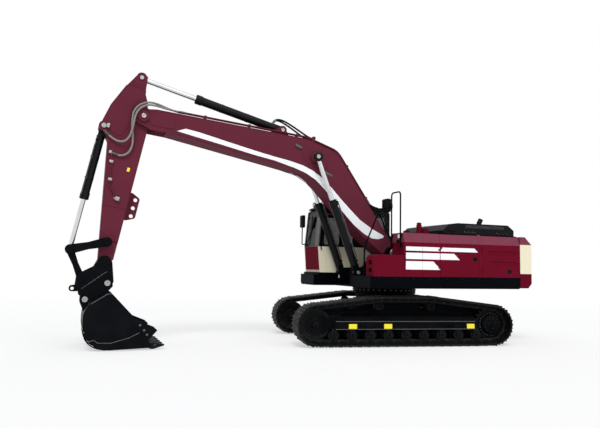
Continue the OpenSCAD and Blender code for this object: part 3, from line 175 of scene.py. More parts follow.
class Graph:
    """The node tree of a material or world, with short ways to add nodes."""

    def __init__(self, owner: bpy.types.Material | bpy.types.World) -> None:
        """Start an empty tree.

        Args:
            owner: Material or world that the tree belongs to.
        """
        owner.use_nodes = True
        self.owner = owner
        self.tree = owner.node_tree
        self.tree.nodes.clear()

    def node(self, kind: str, settings: dict[str, Any] | None = None,
             inputs: dict[str | int, Any] | None = None, output: str | int = 0) -> Wire:
        """Add a node.

        Args:
            kind: The node's type.
            settings: Attributes to set on it.
            inputs: Values or wires for its sockets.
            output: Which output to hand back.

        Returns:
            The chosen output, empty where the node has none.
        """
        made = self.tree.nodes.new(kind)
        for key, value in (settings or {}).items():
            setattr(made, key, value)
        for key, value in (inputs or {}).items():
            socket = made.inputs[key]
            if isinstance(value, Wire):
                self.tree.links.new(value.socket, socket)
            elif socket.type == "RGBA" and len(value) == 3:
                socket.default_value = (*value, 1.0)
            else:
                socket.default_value = value
        return Wire(self, made.outputs[output] if len(made.outputs) else None)

    def mix(self, factor: Any, first: Any, second: Any) -> Wire:
        """Mix two colours by a factor."""
        return self.node("ShaderNodeMix", {"data_type": "RGBA"}, {0: factor, 6: first, 7: second}, 2)

    def place(self, scale: Point = (1, 1, 1)) -> Wire:
        """Places in the row frame, stretched by scale."""
        spot = self.node("ShaderNodeTexCoord", output="Object")
        return self.node("ShaderNodeMapping", None, {"Vector": spot, "Scale": tuple(scale)})

    def noise(self, scale: float, detail: float, stretch: Point = (1, 1, 1)) -> Wire:
        """Cloudy noise from 0 to 1."""
        return self.node("ShaderNodeTexNoise", None,
                         {"Vector": self.place(stretch), "Scale": scale, "Detail": detail})

    def wave(self, scale: float, direction: str = "Y", stretch: Point = (1, 1, 1)) -> Wire:
        """Even bands from 0 to 1."""
        return self.node("ShaderNodeTexWave", {"bands_direction": direction},
                         {"Vector": self.place(stretch), "Scale": scale}, 1)

    def part(self, vector: Wire, axis: Axis) -> Wire:
        """One component of a vector."""
        return self.node("ShaderNodeSeparateXYZ", None, {0: vector}, axis.value)

    def height(self, axis: Axis = Axis.Z) -> Wire:
        """Place along one axis of the row frame."""
        return self.part(self.place(), axis)

    def facing(self) -> Wire:
        """Direction that a surface faces."""
        return self.node("ShaderNodeNewGeometry", output="Normal")

    def upward(self) -> Wire:
        """How far a surface faces up, from -1 to 1."""
        return self.part(self.facing(), Axis.Z)

    def rounded(self, radius: float) -> Wire:
        """Normals softened at edges."""
        return self.node("ShaderNodeBevel", {"samples": 4}, {"Radius": radius})

    def edges(self, radius: float) -> Wire:
        """About 1 on sharp edges and 0 on flat faces."""
        flat = self.node("ShaderNodeVectorMath", {"operation": "DOT_PRODUCT"},
                         {0: self.rounded(radius), 1: self.facing()}, "Value")
        return (1 - flat).ramp(0.02, 0.22)

    def bump(self, height: Wire, strength: float, distance: float, radius: float = 0.003) -> Wire:
        """Normals raised by a height, over edges softened by radius."""
        return self.node("ShaderNodeBump", None, {"Height": height, "Strength": strength,
                                                  "Distance": distance, "Normal": self.rounded(radius)})

    def close(self, inputs: dict[str | int, Any]) -> bpy.types.Material:
        """Finish with a Principled shader.

        Args:
            inputs: Its sockets.

        Returns:
            The material.
        """
        surface = self.node("ShaderNodeBsdfPrincipled", None, inputs, "BSDF")
        self.node("ShaderNodeOutputMaterial", None, {"Surface": surface})
        return self.owner


@dataclass(frozen=True)
class Zone:
    """A band of another colour between two places along an axis, from some height up."""

    low: float
    high: float
    colour: Colour
    axis: Axis = Axis.Z
    floor: float = -1.0

    def mask(self, graph: Graph) -> Wire:
        """Tell the band from the rest.

        Args:
            graph: Tree to work in.

        Returns:
            About 1 in the band and 0 outside.
        """
        along = graph.height(self.axis)
        begun = along.ramp(self.low - BLUR, self.low + BLUR)
        ended = along.ramp(self.high - BLUR, self.high + BLUR)
        return begun * (1 - ended) * graph.height().ramp(self.floor - BLUR, self.floor + BLUR)


@dataclass(frozen=True)
class Finish:
    """A surface finish: its name, the slot it belongs to and its shader."""

    name: str
    slot: Slot
    colour: Colour

    def material(self) -> bpy.types.Material:
        """Give the finish's material, made on first use."""
        return bpy.data.materials.get(self.name) or self.shade(Graph(bpy.data.materials.new(self.name)))

    def toned(self, factor: float) -> Colour:
        """The colour made darker or paler."""
        return tuple(factor * c for c in self.colour)

    def shade(self, graph: Graph) -> bpy.types.Material:
        """Build the shader in an empty graph."""
        raise NotImplementedError


DUST = srgb(150, 138, 118)


@dataclass(frozen=True)
class Paint(Finish):
    """Sprayed paint with soil, scuffed edges and a thin clear coat."""

    roughness: float = 0.34
    coat: float = 0.05
    dust: float = 0.02
    wear: float = 0.2
    gloss: float = 0.16
    worn: Colour = srgb(62, 60, 60)
    zones: tuple[Zone, ...] = ()

    def shade(self, graph: Graph) -> bpy.types.Material:
        """Build paint, zones, scuffs and dust.

        Args:
            graph: Empty tree.

        Returns:
            The material.
        """
        cloud = graph.noise(1.7, 5.0)
        fine = graph.noise(38.0, 3.0)
        streak = graph.noise(6.0, 4.0, (1, 1, 0.12))
        colour: Any = graph.mix(cloud.ramp(0.25, 0.8) * 0.3, self.colour, self.toned(0.72))
        for zone in self.zones:
            colour = graph.mix(zone.mask(graph), colour, zone.colour)
        colour = graph.mix(streak.ramp(0.55, 0.85) * 0.14, colour, srgb(34, 28, 28))
        scuff = (graph.edges(0.006) * fine.ramp(0.42, 0.62) * self.wear).most(
            graph.noise(23.0, 6.0).ramp(0.76, 0.8) * self.wear * 0.6)
        colour = graph.mix(scuff, colour, self.worn)
        settled = graph.upward().ramp(0.35, 0.95) * cloud.ramp(0.2, 0.7) * self.dust
        low = (1 - graph.height().ramp(0.1, 1.5)) * graph.noise(3.0, 6.0).ramp(0.35, 0.75) * self.dust
        soil = settled.most(low)
        colour = graph.mix(soil, colour, DUST)
        rough = self.roughness + soil * 0.4 + scuff * 0.2 + fine * 0.08
        skin = graph.noise(140.0, 2.0) * 0.5 + cloud * 0.5
        return graph.close({"Base Color": colour, "Roughness": rough, "Metallic": scuff * 0.5,
                            "Coat Weight": (1 - soil) * self.coat, "Coat Roughness": 0.12,
                            "Specular IOR Level": self.gloss,
                            "Normal": graph.bump(skin, 0.12, 0.002, 0.005)})


@dataclass(frozen=True)
class Metal(Finish):
    """Bare or plated metal with edges lightened as rubbing and as a painted highlight, grime and fine
    scratches.
    """

    roughness: float = 0.42
    metallic: float = 0.3
    grime: float = 0.3
    bright: Colour = srgb(150, 146, 140)
    dirt: Colour = srgb(44, 41, 38)
    # How far the edges lighten: partly rubbing, partly painted highlight
    edge_wear_and_highlight: float = 0.6
    gloss: float = 0.3

    def shade(self, graph: Graph) -> bpy.types.Material:
        """Build metal, edges lightened by rubbing and painted highlight, grime and scratches.

        Args:
            graph: Empty tree.

        Returns:
            The material.
        """
        cloud = graph.noise(4.0, 6.0)
        grain = graph.noise(60.0, 4.0)
        # Every edge lightened towards the bright colour: partly rubbed metal, partly a painted highlight
        edge = graph.edges(0.008) * self.edge_wear_and_highlight
        colour = graph.mix(grain.ramp(0.3, 0.7) * 0.4, self.colour, self.toned(0.7))
        colour = graph.mix(edge, colour, self.bright)
        soil = cloud.ramp(0.4, 0.75) * self.grime * (1 - edge)
        colour = graph.mix(soil, colour, self.dirt)
        rough = self.roughness + soil * 0.35 + grain * 0.1 - edge * 0.2
        return graph.close({"Base Color": colour, "Roughness": rough,
                            "Metallic": (1 - soil * 0.9) * self.metallic, "Specular IOR Level": self.gloss,
                            "Normal": graph.bump(grain * 0.6 + cloud * 0.4, 0.25, 0.0025, 0.004)})


@dataclass(frozen=True)
class Chrome(Finish):
    """Hard chrome on a rod, with faint lengthwise rubbing and an oil film."""

    def shade(self, graph: Graph) -> bpy.types.Material:
        """Build plating, rubbing and film.

        Args:
            graph: Empty tree.

        Returns:
            The material.
        """
        rub = graph.noise(90.0, 3.0, (0.06, 1, 1))
        film = graph.noise(3.0, 5.0).ramp(0.5, 0.8)
        colour = graph.mix(film * 0.25, self.colour, srgb(120, 116, 108))
        return graph.close({"Base Color": colour, "Metallic": 1.0, "Roughness": 0.1 + rub * 0.1 + film * 0.15,
                            "Normal": graph.bump(rub, 0.05, 0.0005)})


@dataclass(frozen=True)
class Glass(Finish):
    """Tinted safety glass with a dusty film towards its foot."""

    alpha: float = 0.5

    def shade(self, graph: Graph) -> bpy.types.Material:
        """Build tint and film.

        Args:
            graph: Empty tree.

        Returns:
            The material.
        """
        film = graph.noise(2.2, 6.0).ramp(0.35, 0.8) * (1 - graph.height().ramp(2.1, 2.9)) * 0.12
        colour = graph.mix(film, self.colour, DUST)
        return graph.close({"Base Color": colour, "Roughness": 0.03 + film * 0.3,
                            "Alpha": self.alpha + film * 0.3, "Specular IOR Level": 0.2,
                            "Normal": graph.bump(graph.noise(0.8, 1.0), 0.02, 0.01)})


@dataclass(frozen=True)
class Soft(Finish):
    """Matt rubber, plastic or cloth with a fine grain and settled dust."""

    roughness: float = 0.55
    grain: float = 220.0
    depth: float = 0.3
    dust: float = 0.03
    weave: float = 0.0
    gloss: float = 0.25

    def shade(self, graph: Graph) -> bpy.types.Material:
        """Build grain, weave and dust.

        Args:
            graph: Empty tree.

        Returns:
            The material.
        """
        grain = graph.noise(self.grain, 3.0)
        cloud = graph.noise(5.0, 5.0)
        soil = (graph.upward().ramp(0.1, 0.95) * 0.6 + 0.4) * cloud.ramp(0.4, 0.8) * self.dust
        colour = graph.mix(grain.ramp(0.3, 0.8) * 0.3, self.colour, self.toned(1.5))
        colour = graph.mix(soil, colour, DUST)
        relief = grain
        if self.weave:
            weft = graph.wave(self.weave, "DIAGONAL", (1, 0.05, 1))
            relief = graph.wave(self.weave) * 0.4 + weft * 0.4 + grain * 0.2
        return graph.close({"Base Color": colour, "Roughness": self.roughness + soil * 0.2 + grain * 0.06,
                            "Specular IOR Level": self.gloss,
                            "Normal": graph.bump(relief, self.depth, 0.0015, 0.002)})


@dataclass(frozen=True)
class Decal(Finish):
    """Film or plate, faded and chipped a little."""

    roughness: float = 0.32

    def shade(self, graph: Graph) -> bpy.types.Material:
        """Build film, fading and chips.

        Args:
            graph: Empty tree.

        Returns:
            The material.
        """
        fade = graph.noise(2.5, 5.0)
        chip = graph.noise(31.0, 6.0).ramp(0.72, 0.78)
        colour = graph.mix(fade.ramp(0.4, 0.8) * 0.18, self.colour, self.toned(0.75))
        colour = graph.mix(chip * 0.5, colour, srgb(96, 60, 60))
        return graph.close({"Base Color": colour, "Roughness": self.roughness + fade * 0.15,
                            "Normal": graph.bump(graph.noise(120.0, 2.0), 0.04, 0.001, 0.0005)})


@dataclass(frozen=True)
class Lens(Finish):
    """Ribbed lamp glass over a bright reflector."""

    def shade(self, graph: Graph) -> bpy.types.Material:
        """Build ribs and reflector.

        Args:
            graph: Empty tree.

        Returns:
            The material.
        """
        ribs = graph.wave(40.0)
        colour = graph.mix(ribs * 0.5, self.colour, (0.9, 0.9, 0.9))
        return graph.close({"Base Color": colour, "Roughness": 0.08 + ribs * 0.1, "Metallic": ribs * 0.6,
                            "Normal": graph.bump(ribs, 0.4, 0.002)})


# Cream is the two-tone paint; the second tone is a painted sheen, a paler pinker burgundy that stands in for
# the sky's reflection on glossy paint
CREAM_TONE, PAINTED_SHEEN_TONE = srgb(226, 219, 192), srgb(118, 57, 74)
PANEL_TONE, BLACK_TONE = srgb(102, 14, 35), srgb(3, 5, 10)
# Height from which the side panels lean in and catch the light
LEAN_Z = 2.27
BURGUNDY = Paint("burgundy", Slot.BURGUNDY, srgb(103, 5, 29), roughness=0.38, coat=0.02, gloss=0.004)
# Side panels: burgundy, with a painted sheen on the leaning band above LEAN_Z
PANEL = replace(BURGUNDY, name="panel_burgundy_and_painted_sheen", colour=PANEL_TONE, zones=(Zone(LEAN_Z, 2.495, PAINTED_SHEEN_TONE),))
# Boom and arm: burgundy made paler all over, a painted sheen that stands in for the sky's reflection on their
# gloss
PAINTED_SHEEN_BURGUNDY = replace(BURGUNDY, name="boom_burgundy_painted_sheen", colour=srgb(98, 41, 55))
# Counterweight: burgundy and a cream band, with a painted sheen over its top
COUNTERWEIGHT = replace(BURGUNDY, name="burgundy_cream_and_painted_sheen", colour=srgb(94, 11, 31),
                        zones=(Zone(1.61, 2.3, CREAM_TONE), Zone(2.3, 2.7, PAINTED_SHEEN_TONE)))
BLACK = Paint("black", Slot.BLACK, BLACK_TONE, roughness=0.42, coat=0.01, gloss=0.02, worn=srgb(40, 40, 42))
# House frame: black, its door post in panel burgundy, with a painted sheen on the post above LEAN_Z
FRAME = replace(BLACK, name="frame_black_and_painted_sheen", zones=(
    Zone(-1.745, -1.65, PANEL_TONE, Axis.X), Zone(-1.745, -1.65, PAINTED_SHEEN_TONE, Axis.X, LEAN_Z),
    Zone(-1.4, 1.4, BLACK_TONE, Axis.Y)))
HOOD = replace(BLACK, name="hood_black", colour=srgb(15, 16, 20), roughness=0.45, coat=0.02, dust=0.03,
               gloss=0.08, worn=srgb(50, 50, 52))
SLAT = replace(HOOD, name="hood_slats", colour=srgb(80, 80, 84), roughness=0.5, gloss=0.1,
               worn=srgb(74, 74, 76))
CAB_BLACK = replace(BLACK, name="black_and_cream", roughness=0.34, coat=0.03, wear=0.12, gloss=0.08,
                    zones=(Zone(1.4, 2.19, CREAM_TONE),))
BARREL = Paint("cylinder_black", Slot.BLACK, srgb(8, 9, 12), roughness=0.28, wear=0.15, gloss=0.12)
CHASSIS = replace(BLACK, name="chassis_black", colour=srgb(3, 5, 9), roughness=0.5, coat=0.0, dust=0.015,
                  wear=0.25, gloss=0.03, worn=srgb(34, 34, 35))
TOOL_BLACK = replace(BLACK, name="tool_black", colour=srgb(6, 8, 13), roughness=0.4, coat=0.02, dust=0.01,
                     wear=0.3, gloss=0.04, worn=srgb(58, 57, 57))
TRACK = Metal("shoe_steel", Slot.STEEL, srgb(13, 14, 16), roughness=0.5, metallic=0.12,
              bright=srgb(112, 112, 112), dirt=srgb(15, 15, 15), gloss=0.08)
TEETH = Metal("tooth_steel", Slot.STEEL, srgb(22, 23, 26), roughness=0.45, bright=srgb(90, 89, 88),
              dirt=srgb(24, 23, 22), edge_wear_and_highlight=0.45, gloss=0.1)
BOLT = Metal("bolt_steel", Slot.GREY, srgb(92, 93, 95), metallic=0.7)
BLACK_BOLT = Metal("black_bolt", Slot.BLACK, srgb(15, 16, 19), roughness=0.45, metallic=0.25, grime=0.2,
                   bright=srgb(70, 70, 72), dirt=srgb(16, 16, 16), edge_wear_and_highlight=0.4, gloss=0.08)
PIN = Metal("pin_steel", Slot.GREY, srgb(172, 172, 172), roughness=0.34, metallic=0.8, grime=0.2,
            bright=srgb(214, 214, 212), dirt=srgb(90, 86, 82))
GREY = Metal("plain_metal", Slot.GREY, srgb(84, 85, 88), metallic=0.6)
CHROME = Chrome("chrome_rod", Slot.CHROME, srgb(214, 216, 218))
MIRROR = Chrome("mirror_glass", Slot.GLASS, srgb(196, 204, 208))
GLASS = Glass("cab_glass", Slot.GLASS, srgb(12, 16, 19))
LENS = Lens("lamp_lens", Slot.GLASS, srgb(190, 196, 200))
PLASTIC = Soft("moulded_plastic", Slot.PLASTIC, srgb(10, 11, 13), grain=240.0, depth=0.2, gloss=0.08)
SEAL = Soft("rubber_seal", Slot.PLASTIC, srgb(8, 8, 10), roughness=0.75, grain=300.0, depth=0.2, gloss=0.06)
HOSE = Soft("hose_sheath", Slot.RUBBER, srgb(126, 123, 120), dust=0.1)
LOOP = Soft("black_hose", Slot.RUBBER, srgb(11, 12, 14), gloss=0.1)
CLOTH = Soft("seat_cloth", Slot.FABRIC, srgb(34, 34, 40), roughness=0.85, grain=120.0, depth=0.5, dust=0.04,
             weave=90.0)
GRIP = Soft("grip_pad", Slot.BLACK, srgb(15, 15, 17), roughness=0.9, grain=90.0, depth=0.8, dust=0.04,
            gloss=0.06)
WHITE = Decal("white_film", Slot.BURGUNDY, srgb(238, 240, 243))
YELLOW = Decal("yellow_plate", Slot.BLACK, srgb(240, 224, 34))


def chord(start: Point, end: Point, across: float = 0.0) -> Matrix:
    """A frame along a line in the X-Z plane: along, across to +Y, above.

    Args:
        start: Origin of the frame.
        end: Point on its first axis.
        across: Shift along Y.

    Returns:
        The frame's matrix.
    """
    along = (Vector(end) - Vector(start)).normalized()
    above = Vector((-along.z, 0, along.x))
    frame = Matrix((along, Y, above)).transposed().to_4x4()
    frame.translation = Vector(start) + Y * across
    return frame


def slope(degrees: float) -> tuple[Vector, Vector]:
    """Directions along and above a line that climbs towards +X."""
    turn = math.radians(degrees)
    return Vector((math.cos(turn), 0, math.sin(turn))), Vector((-math.sin(turn), 0, math.cos(turn)))


def basis(axis: Vector) -> tuple[Vector, Vector]:
    """Two directions square to an axis and to each other."""
    side = axis.orthogonal().normalized()
    return side, axis.normalized().cross(side)


def angles(count: int, start: float = 0.0) -> list[float]:
    """Angles spaced evenly round a circle, in radians."""
    return [start + 2 * math.pi * k / count for k in range(count)]


def rounded(corners: Corners, steps: int = 5) -> Outline:
    """Round an outline's corners.

    Args:
        corners: Corners with their radius.
        steps: Points per corner.

    Returns:
        The rounded outline.
    """
    points: list[tuple[float, float]] = []
    for index, (x, y, radius) in enumerate(corners):
        here = Vector((x, y))
        back = (Vector(corners[index - 1][:2]) - here).normalized()
        ahead = (Vector(corners[(index + 1) % len(corners)][:2]) - here).normalized()
        if radius <= 0:
            points.append((x, y))
            continue
        reach = radius / math.tan(back.angle(ahead) / 2)
        first, last = here + back * reach, here + ahead * reach
        for step in range(steps + 1):
            share = step / steps
            spot = first * (1 - share) ** 2 + here * 2 * share * (1 - share) + last * share ** 2
            points.append((spot.x, spot.y))
    return points


def rectangle(x0: float, y0: float, x1: float, y1: float, radius: float) -> Outline:
    """A rectangle with rounded corners."""
    return rounded([(x0, y0, radius), (x1, y0, radius), (x1, y1, radius), (x0, y1, radius)])


def inset(outline: Outline, distance: float) -> Outline:
    """Move an outline inwards, whichever way it winds.

    Args:
        outline: Outline to move.
        distance: How far.

    Returns:
        The smaller outline.
    """
    area = sum(a[0] * b[1] - b[0] * a[1] for a, b in zip(outline, outline[1:] + outline[:1]))
    sign = 1 if area > 0 else -1
    moved: list[tuple[float, float]] = []
    for index, point in enumerate(outline):
        before = (Vector(point) - Vector(outline[index - 1])).normalized()
        after = (Vector(outline[(index + 1) % len(outline)]) - Vector(point)).normalized()
        first, second = Vector((-before.y, before.x)), Vector((-after.y, after.x))
        shift = (first + second) * (sign * distance / max(0.3, 1 + first.dot(second)))
        moved.append((point[0] + shift.x, point[1] + shift.y))
    return moved


def spline(points: Sequence[Point], steps: int = 6) -> list[Vector]:
    """A smooth line through points.

    Args:
        points: Points to pass.
        steps: Pieces between two points.

    Returns:
        Points along the line.
    """
    knots = [Vector(p) for p in points]
    padded = [knots[0] * 2 - knots[1], *knots, knots[-1] * 2 - knots[-2]]
    line: list[Vector] = []
    for a, b, c, d in zip(padded, padded[1:], padded[2:], padded[3:]):
        for step in range(steps):
            t = step / steps
            line.append(0.5 * (2 * b + (c - a) * t + (2 * a - 5 * b + 4 * c - d) * t * t
                               + (3 * b - a - 3 * c + d) * t ** 3))
    line.append(knots[-1])
    return line


class Shape:
    """Collects the solids of one piece in a local frame."""

    def __init__(self, frame: Matrix | None = None) -> None:
        """Start an empty piece.

        Args:
            frame: Local frame, or the row frame.
        """
        self.mesh = bmesh.new()
        self.frame = frame or Matrix.Identity(4)

    @classmethod
    def several(cls, count: int, frame: Matrix | None = None) -> list[Shape]:
        """Start some empty pieces in one frame."""
        return [cls(frame) for _ in range(count)]

    def skin(self, rings: list[list[Vector]]) -> None:
        """Join rings of equal length by quads and cap the ends.

        Args:
            rings: Points of each ring.
        """
        made = [[self.mesh.verts.new(p) for p in ring] for ring in rings]
        for first, second in zip(made, made[1:]):
            for index in range(len(first)):
                after = (index + 1) % len(first)
                self.mesh.faces.new((first[index], first[after], second[after], second[index]))
        self.mesh.faces.new(reversed(made[0]))
        self.mesh.faces.new(made[-1])

    def lathe(self, centre: Point, axis: Vector, profile: Outline, sides: int = 20,
              spin: float = 0.0) -> None:
        """Turn a profile about an axis.

        Args:
            centre: Point on the axis.
            axis: Direction of the axis.
            profile: Pairs of distance along the axis and radius.
            sides: Sides of the round.
            spin: Turn of the first side, in radians.
        """
        centre, axis = Vector(centre), axis.normalized()
        u, v = basis(axis)
        self.skin([[centre + axis * t + (u * math.cos(a) + v * math.sin(a)) * r for a in angles(sides, spin)]
                   for t, r in profile])

    def collar(self, centre: Point, axis: Vector, radius: float, height: float, sides: int) -> None:
        """A plain round or many-sided collar."""
        self.lathe(centre, axis, [(0, radius), (height, radius)], sides)

    def disc(self, centre: Point, axis: Vector, radius: float, height: float, sides: int = 24) -> None:
        """A disc with a chamfered rim."""
        edge = min(height * 0.35, radius * 0.15)
        self.lathe(centre, axis, [(0, radius), (height - edge, radius), (height, radius - edge)], sides)

    def bolt(self, centre: Point, axis: Vector, radius: float) -> None:
        """A hexagon head on a washer, its turn following from its place.

        Args:
            centre: Middle of the washer's foot.
            axis: Direction in which it stands out.
            radius: Radius of the head.
        """
        washer, spin = radius * 0.18, (centre[0] * 7 + centre[2] * 5) % 1
        self.collar(centre, axis, radius * 1.25, washer, 14)
        self.lathe(Vector(centre) + axis.normalized() * washer, axis,
                   [(0, radius), (radius * 0.62, radius), (radius * 0.75, radius * 0.82)], 6, spin)

    def bolt_ring(self, centre: Point, axis: Vector, ring: float, count: int, radius: float,
                  spin: float = 0.0) -> None:
        """Bolts round a circle.

        Args:
            centre: Middle of the circle.
            axis: Direction in which they stand out.
            ring: Radius of the circle.
            count: How many.
            radius: Radius of a head.
            spin: Turn of the first bolt, in radians.
        """
        u, v = basis(axis)
        for a in angles(count, spin):
            self.bolt(Vector(centre) + (u * math.cos(a) + v * math.sin(a)) * ring, axis, radius)

    def pin_cap(self, centre: Point, axis: Vector, radius: float, bolts: int) -> None:
        """A pin's end: collar, face and keeper bolts.

        Args:
            centre: Middle of the collar's foot.
            axis: Direction in which it stands out.
            radius: Radius of the collar.
            bolts: How many bolts.
        """
        high, dip = 0.012, 0.006
        self.lathe(centre, axis, [(0, radius), (0.008, radius), (high, radius * 0.93), (high, radius * 0.45),
                                  (dip, radius * 0.38), (dip, radius * 0.1), (high, radius * 0.06)], 32)
        face = Vector(centre) + axis.normalized() * high
        self.bolt_ring(face, axis, radius * 0.68, bolts, radius * 0.13, 0.5)

    def tube(self, points: Sequence[Point], radius: float, sides: int,
             swell: Sequence[float] | None = None) -> None:
        """Sweep a round section along points.

        Args:
            points: Middle line.
            radius: Radius of the section.
            sides: Sides of the section.
            swell: Factor on the radius at each point.
        """
        line = [Vector(p) for p in points]
        side = None
        rings: list[list[Vector]] = []
        for index, spot in enumerate(line):
            ahead = (line[min(index + 1, len(line) - 1)] - line[max(index - 1, 0)]).normalized()
            side = (side - ahead * side.dot(ahead)).normalized() if side else basis(ahead)[0]
            other = ahead.cross(side)
            size = radius * (swell[index] if swell else 1.0)
            rings.append([spot + (side * math.cos(a) + other * math.sin(a)) * size for a in angles(sides)])
        self.skin(rings)

    def pipe(self, corners: Sequence[Point], radius: float, bend: float, sides: int = 14) -> None:
        """A tube with round bends at its corners.

        Args:
            corners: Ends and corners of the middle line.
            radius: Radius of the tube.
            bend: How far from a corner its bend begins.
            sides: Sides of the section.
        """
        line: list[Vector] = [Vector(corners[0])]
        for before, here, after in zip(corners, corners[1:], corners[2:]):
            here = Vector(here)
            a = here + (Vector(before) - here).normalized() * bend
            b = here + (Vector(after) - here).normalized() * bend
            line += [a * (1 - t) ** 2 + here * 2 * t * (1 - t) + b * t * t for t in (k / 6 for k in range(7))]
        self.tube([*line, Vector(corners[-1])], radius, sides)

    def bead(self, points: Sequence[Point], radius: float, step: float = 0.02) -> None:
        """A weld bead with its ripples along a line.

        Args:
            points: Corners of the line.
            radius: Radius of the bead.
            step: Length of a ripple.
        """
        line: list[Vector] = []
        for a, b in zip(points, points[1:]):
            a, b = Vector(a), Vector(b)
            count = max(2, int((b - a).length / step))
            line += [a.lerp(b, k / count) for k in range(count)]
        line.append(Vector(points[-1]))
        self.tube(line, radius, 6, [1.0 + 0.22 * (-1) ** k for k in range(len(line))])

    def ring_bead(self, x: float, y: float, ring: float, radius: float) -> None:
        """A weld bead round a boss on the chord."""
        turn = (*angles(40), 2 * math.pi)
        self.bead([(x + ring * math.cos(a), y, ring * math.sin(a)) for a in turn], radius)

    def prism(self, outline: Outline, spot: Point, u: Vector, v: Vector, lift: Vector,
              chamfer: float) -> None:
        """Raise an outline into a plate.

        Args:
            outline: Outline in the plane of u and v.
            spot: Origin of the plane.
            u: First direction.
            v: Second direction.
            lift: How far and where it rises.
            chamfer: Chamfer of the raised edge.
        """
        spot = Vector(spot)
        chamfer = min(chamfer, lift.length * 0.8)
        low = [spot + u * x + v * y for x, y in outline]
        self.skin([low, [p + lift * (1 - chamfer / lift.length) for p in low],
                   [spot + u * x + v * y + lift for x, y in inset(outline, chamfer)]])

    def side(self, outline: Outline, y: float, depth: float, chamfer: float) -> None:
        """A plate on a side face: outline in X and Z, raised from y by depth."""
        self.prism(outline, (0, y, 0), X, Z, Y * depth, chamfer)

    def front(self, outline: Outline, x: float, depth: float, chamfer: float) -> None:
        """A plate on a front face: outline in Y and Z, raised from x by depth."""
        self.prism(outline, (x, 0, 0), Y, Z, X * depth, chamfer)

    def top(self, outline: Outline, z: float, depth: float, chamfer: float) -> None:
        """A plate on a level face: outline in X and Y, raised from z by depth."""
        self.prism(outline, (0, 0, z), X, Y, Z * depth, chamfer)

    def box(self, low: Point, high: Point, bevel: float) -> None:
        """A box with chamfered edges.

        Args:
            low: Its lowest corner.
            high: Its highest corner.
            bevel: Chamfer.
        """
        low, high = Vector(low), Vector(high)
        bevel = min(bevel, *(0.45 * abs(d) for d in high - low))
        flat = rectangle(low.x, low.y, high.x, high.y, bevel)
        small = inset(flat, bevel)
        rise = ((low.z, small), (low.z + bevel, flat), (high.z - bevel, flat), (high.z, small))
        self.skin([[Vector((x, y, z)) for x, y in line] for z, line in rise])

    def build(self, name: str, body: str | None, finish: Finish, smooth: float = 38.0) -> bpy.types.Object:
        """Turn the solids into a finished piece.

        Args:
            name: Name of the piece.
            body: Body that it rides on, or none.
            finish: Its finish.
            smooth: Angle under which faces shade as one, in degrees.

        Returns:
            The object.
        """
        bmesh.ops.transform(self.mesh, matrix=self.frame, verts=self.mesh.verts)
        bmesh.ops.recalc_face_normals(self.mesh, faces=self.mesh.faces)
        data = bpy.data.meshes.new(name)
        self.mesh.to_mesh(data)
        self.mesh.free()
        for face in data.polygons:
            face.use_smooth = True
        data.set_sharp_from_angle(angle=math.radians(smooth))
        data.materials.append(finish.material())
        piece = bpy.data.objects.new(name, data)
        bpy.context.scene.collection.objects.link(piece)
        if body:
            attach(piece, body)
        LOG.info("%s: %d faces", name, len(data.polygons))
        return piece


@dataclass
class Machine:
    """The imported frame: its nodes and the places of its joints."""

    nodes: dict[str, bpy.types.Object]
    pins: dict[str, Vector]

    @classmethod
    def load(cls) -> Machine:
        """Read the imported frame."""
        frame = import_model()
        return cls(frame["nodes"], {j["name"]: Vector(j["pos_m"]) for j in frame["joints"] if "pos_m" in j})

    @property
    def boom(self) -> Matrix:
        """Frame along the boom from foot pin to arm pin."""
        return chord(self.pins["boom_lift"], self.pins["arm_crowd"])

    @property
    def arm(self) -> Matrix:
        """Frame along the arm from arm pin to nose pin."""
        return chord(self.pins["arm_crowd"], self.pins["bucket_curl"])


@dataclass
class Assembly:
    """A part of the machine that is dressed and fitted out in one step."""

    machine: Machine

    def dress(self, looks: dict[Finish, Sequence[str]]) -> None:
        """Give nodes their finishes.

        Args:
            looks: Names of nodes for each finish.
        """
        for finish, names in looks.items():
            for name in names:
                data = self.machine.nodes[name].data
                data.materials.clear()
                data.materials.append(finish.material())
                LOG.info("%s: %s", name, finish.name)

    def build(self) -> None:
        """Dress the nodes and add the pieces."""
        raise NotImplementedError


@dataclass
class Hose:
    """A free hose from one body to another, along a smooth line through its points."""

    name: str
    points: Sequence[Point]
    finish: Finish
    bodies: tuple[str, str]
    bend: tuple[Point, Point]
    radius: float = 0.021

    def build(self) -> None:
        """Sweep the hose in place of its solid."""
        line = spline(self.points)
        shape = Shape()
        shape.tube(line, self.radius, 16)
        piece = shape.build(f"{self.name}_skin", None, self.finish)
        length = sum((b - a).length for a, b in zip(line, line[1:]))
        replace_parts(piece, self.name)
        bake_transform(piece)
        2 * self.radius

    def ends(self, body: str) -> list[tuple[Vector, Vector]]:
        """Places and inward directions of the ends on a body."""
        pairs = zip(self.bodies, (self.points[:2], self.points[:-3:-1]))
        return [(Vector(a), Vector(b) - Vector(a)) for name, (a, b) in pairs if name == body]


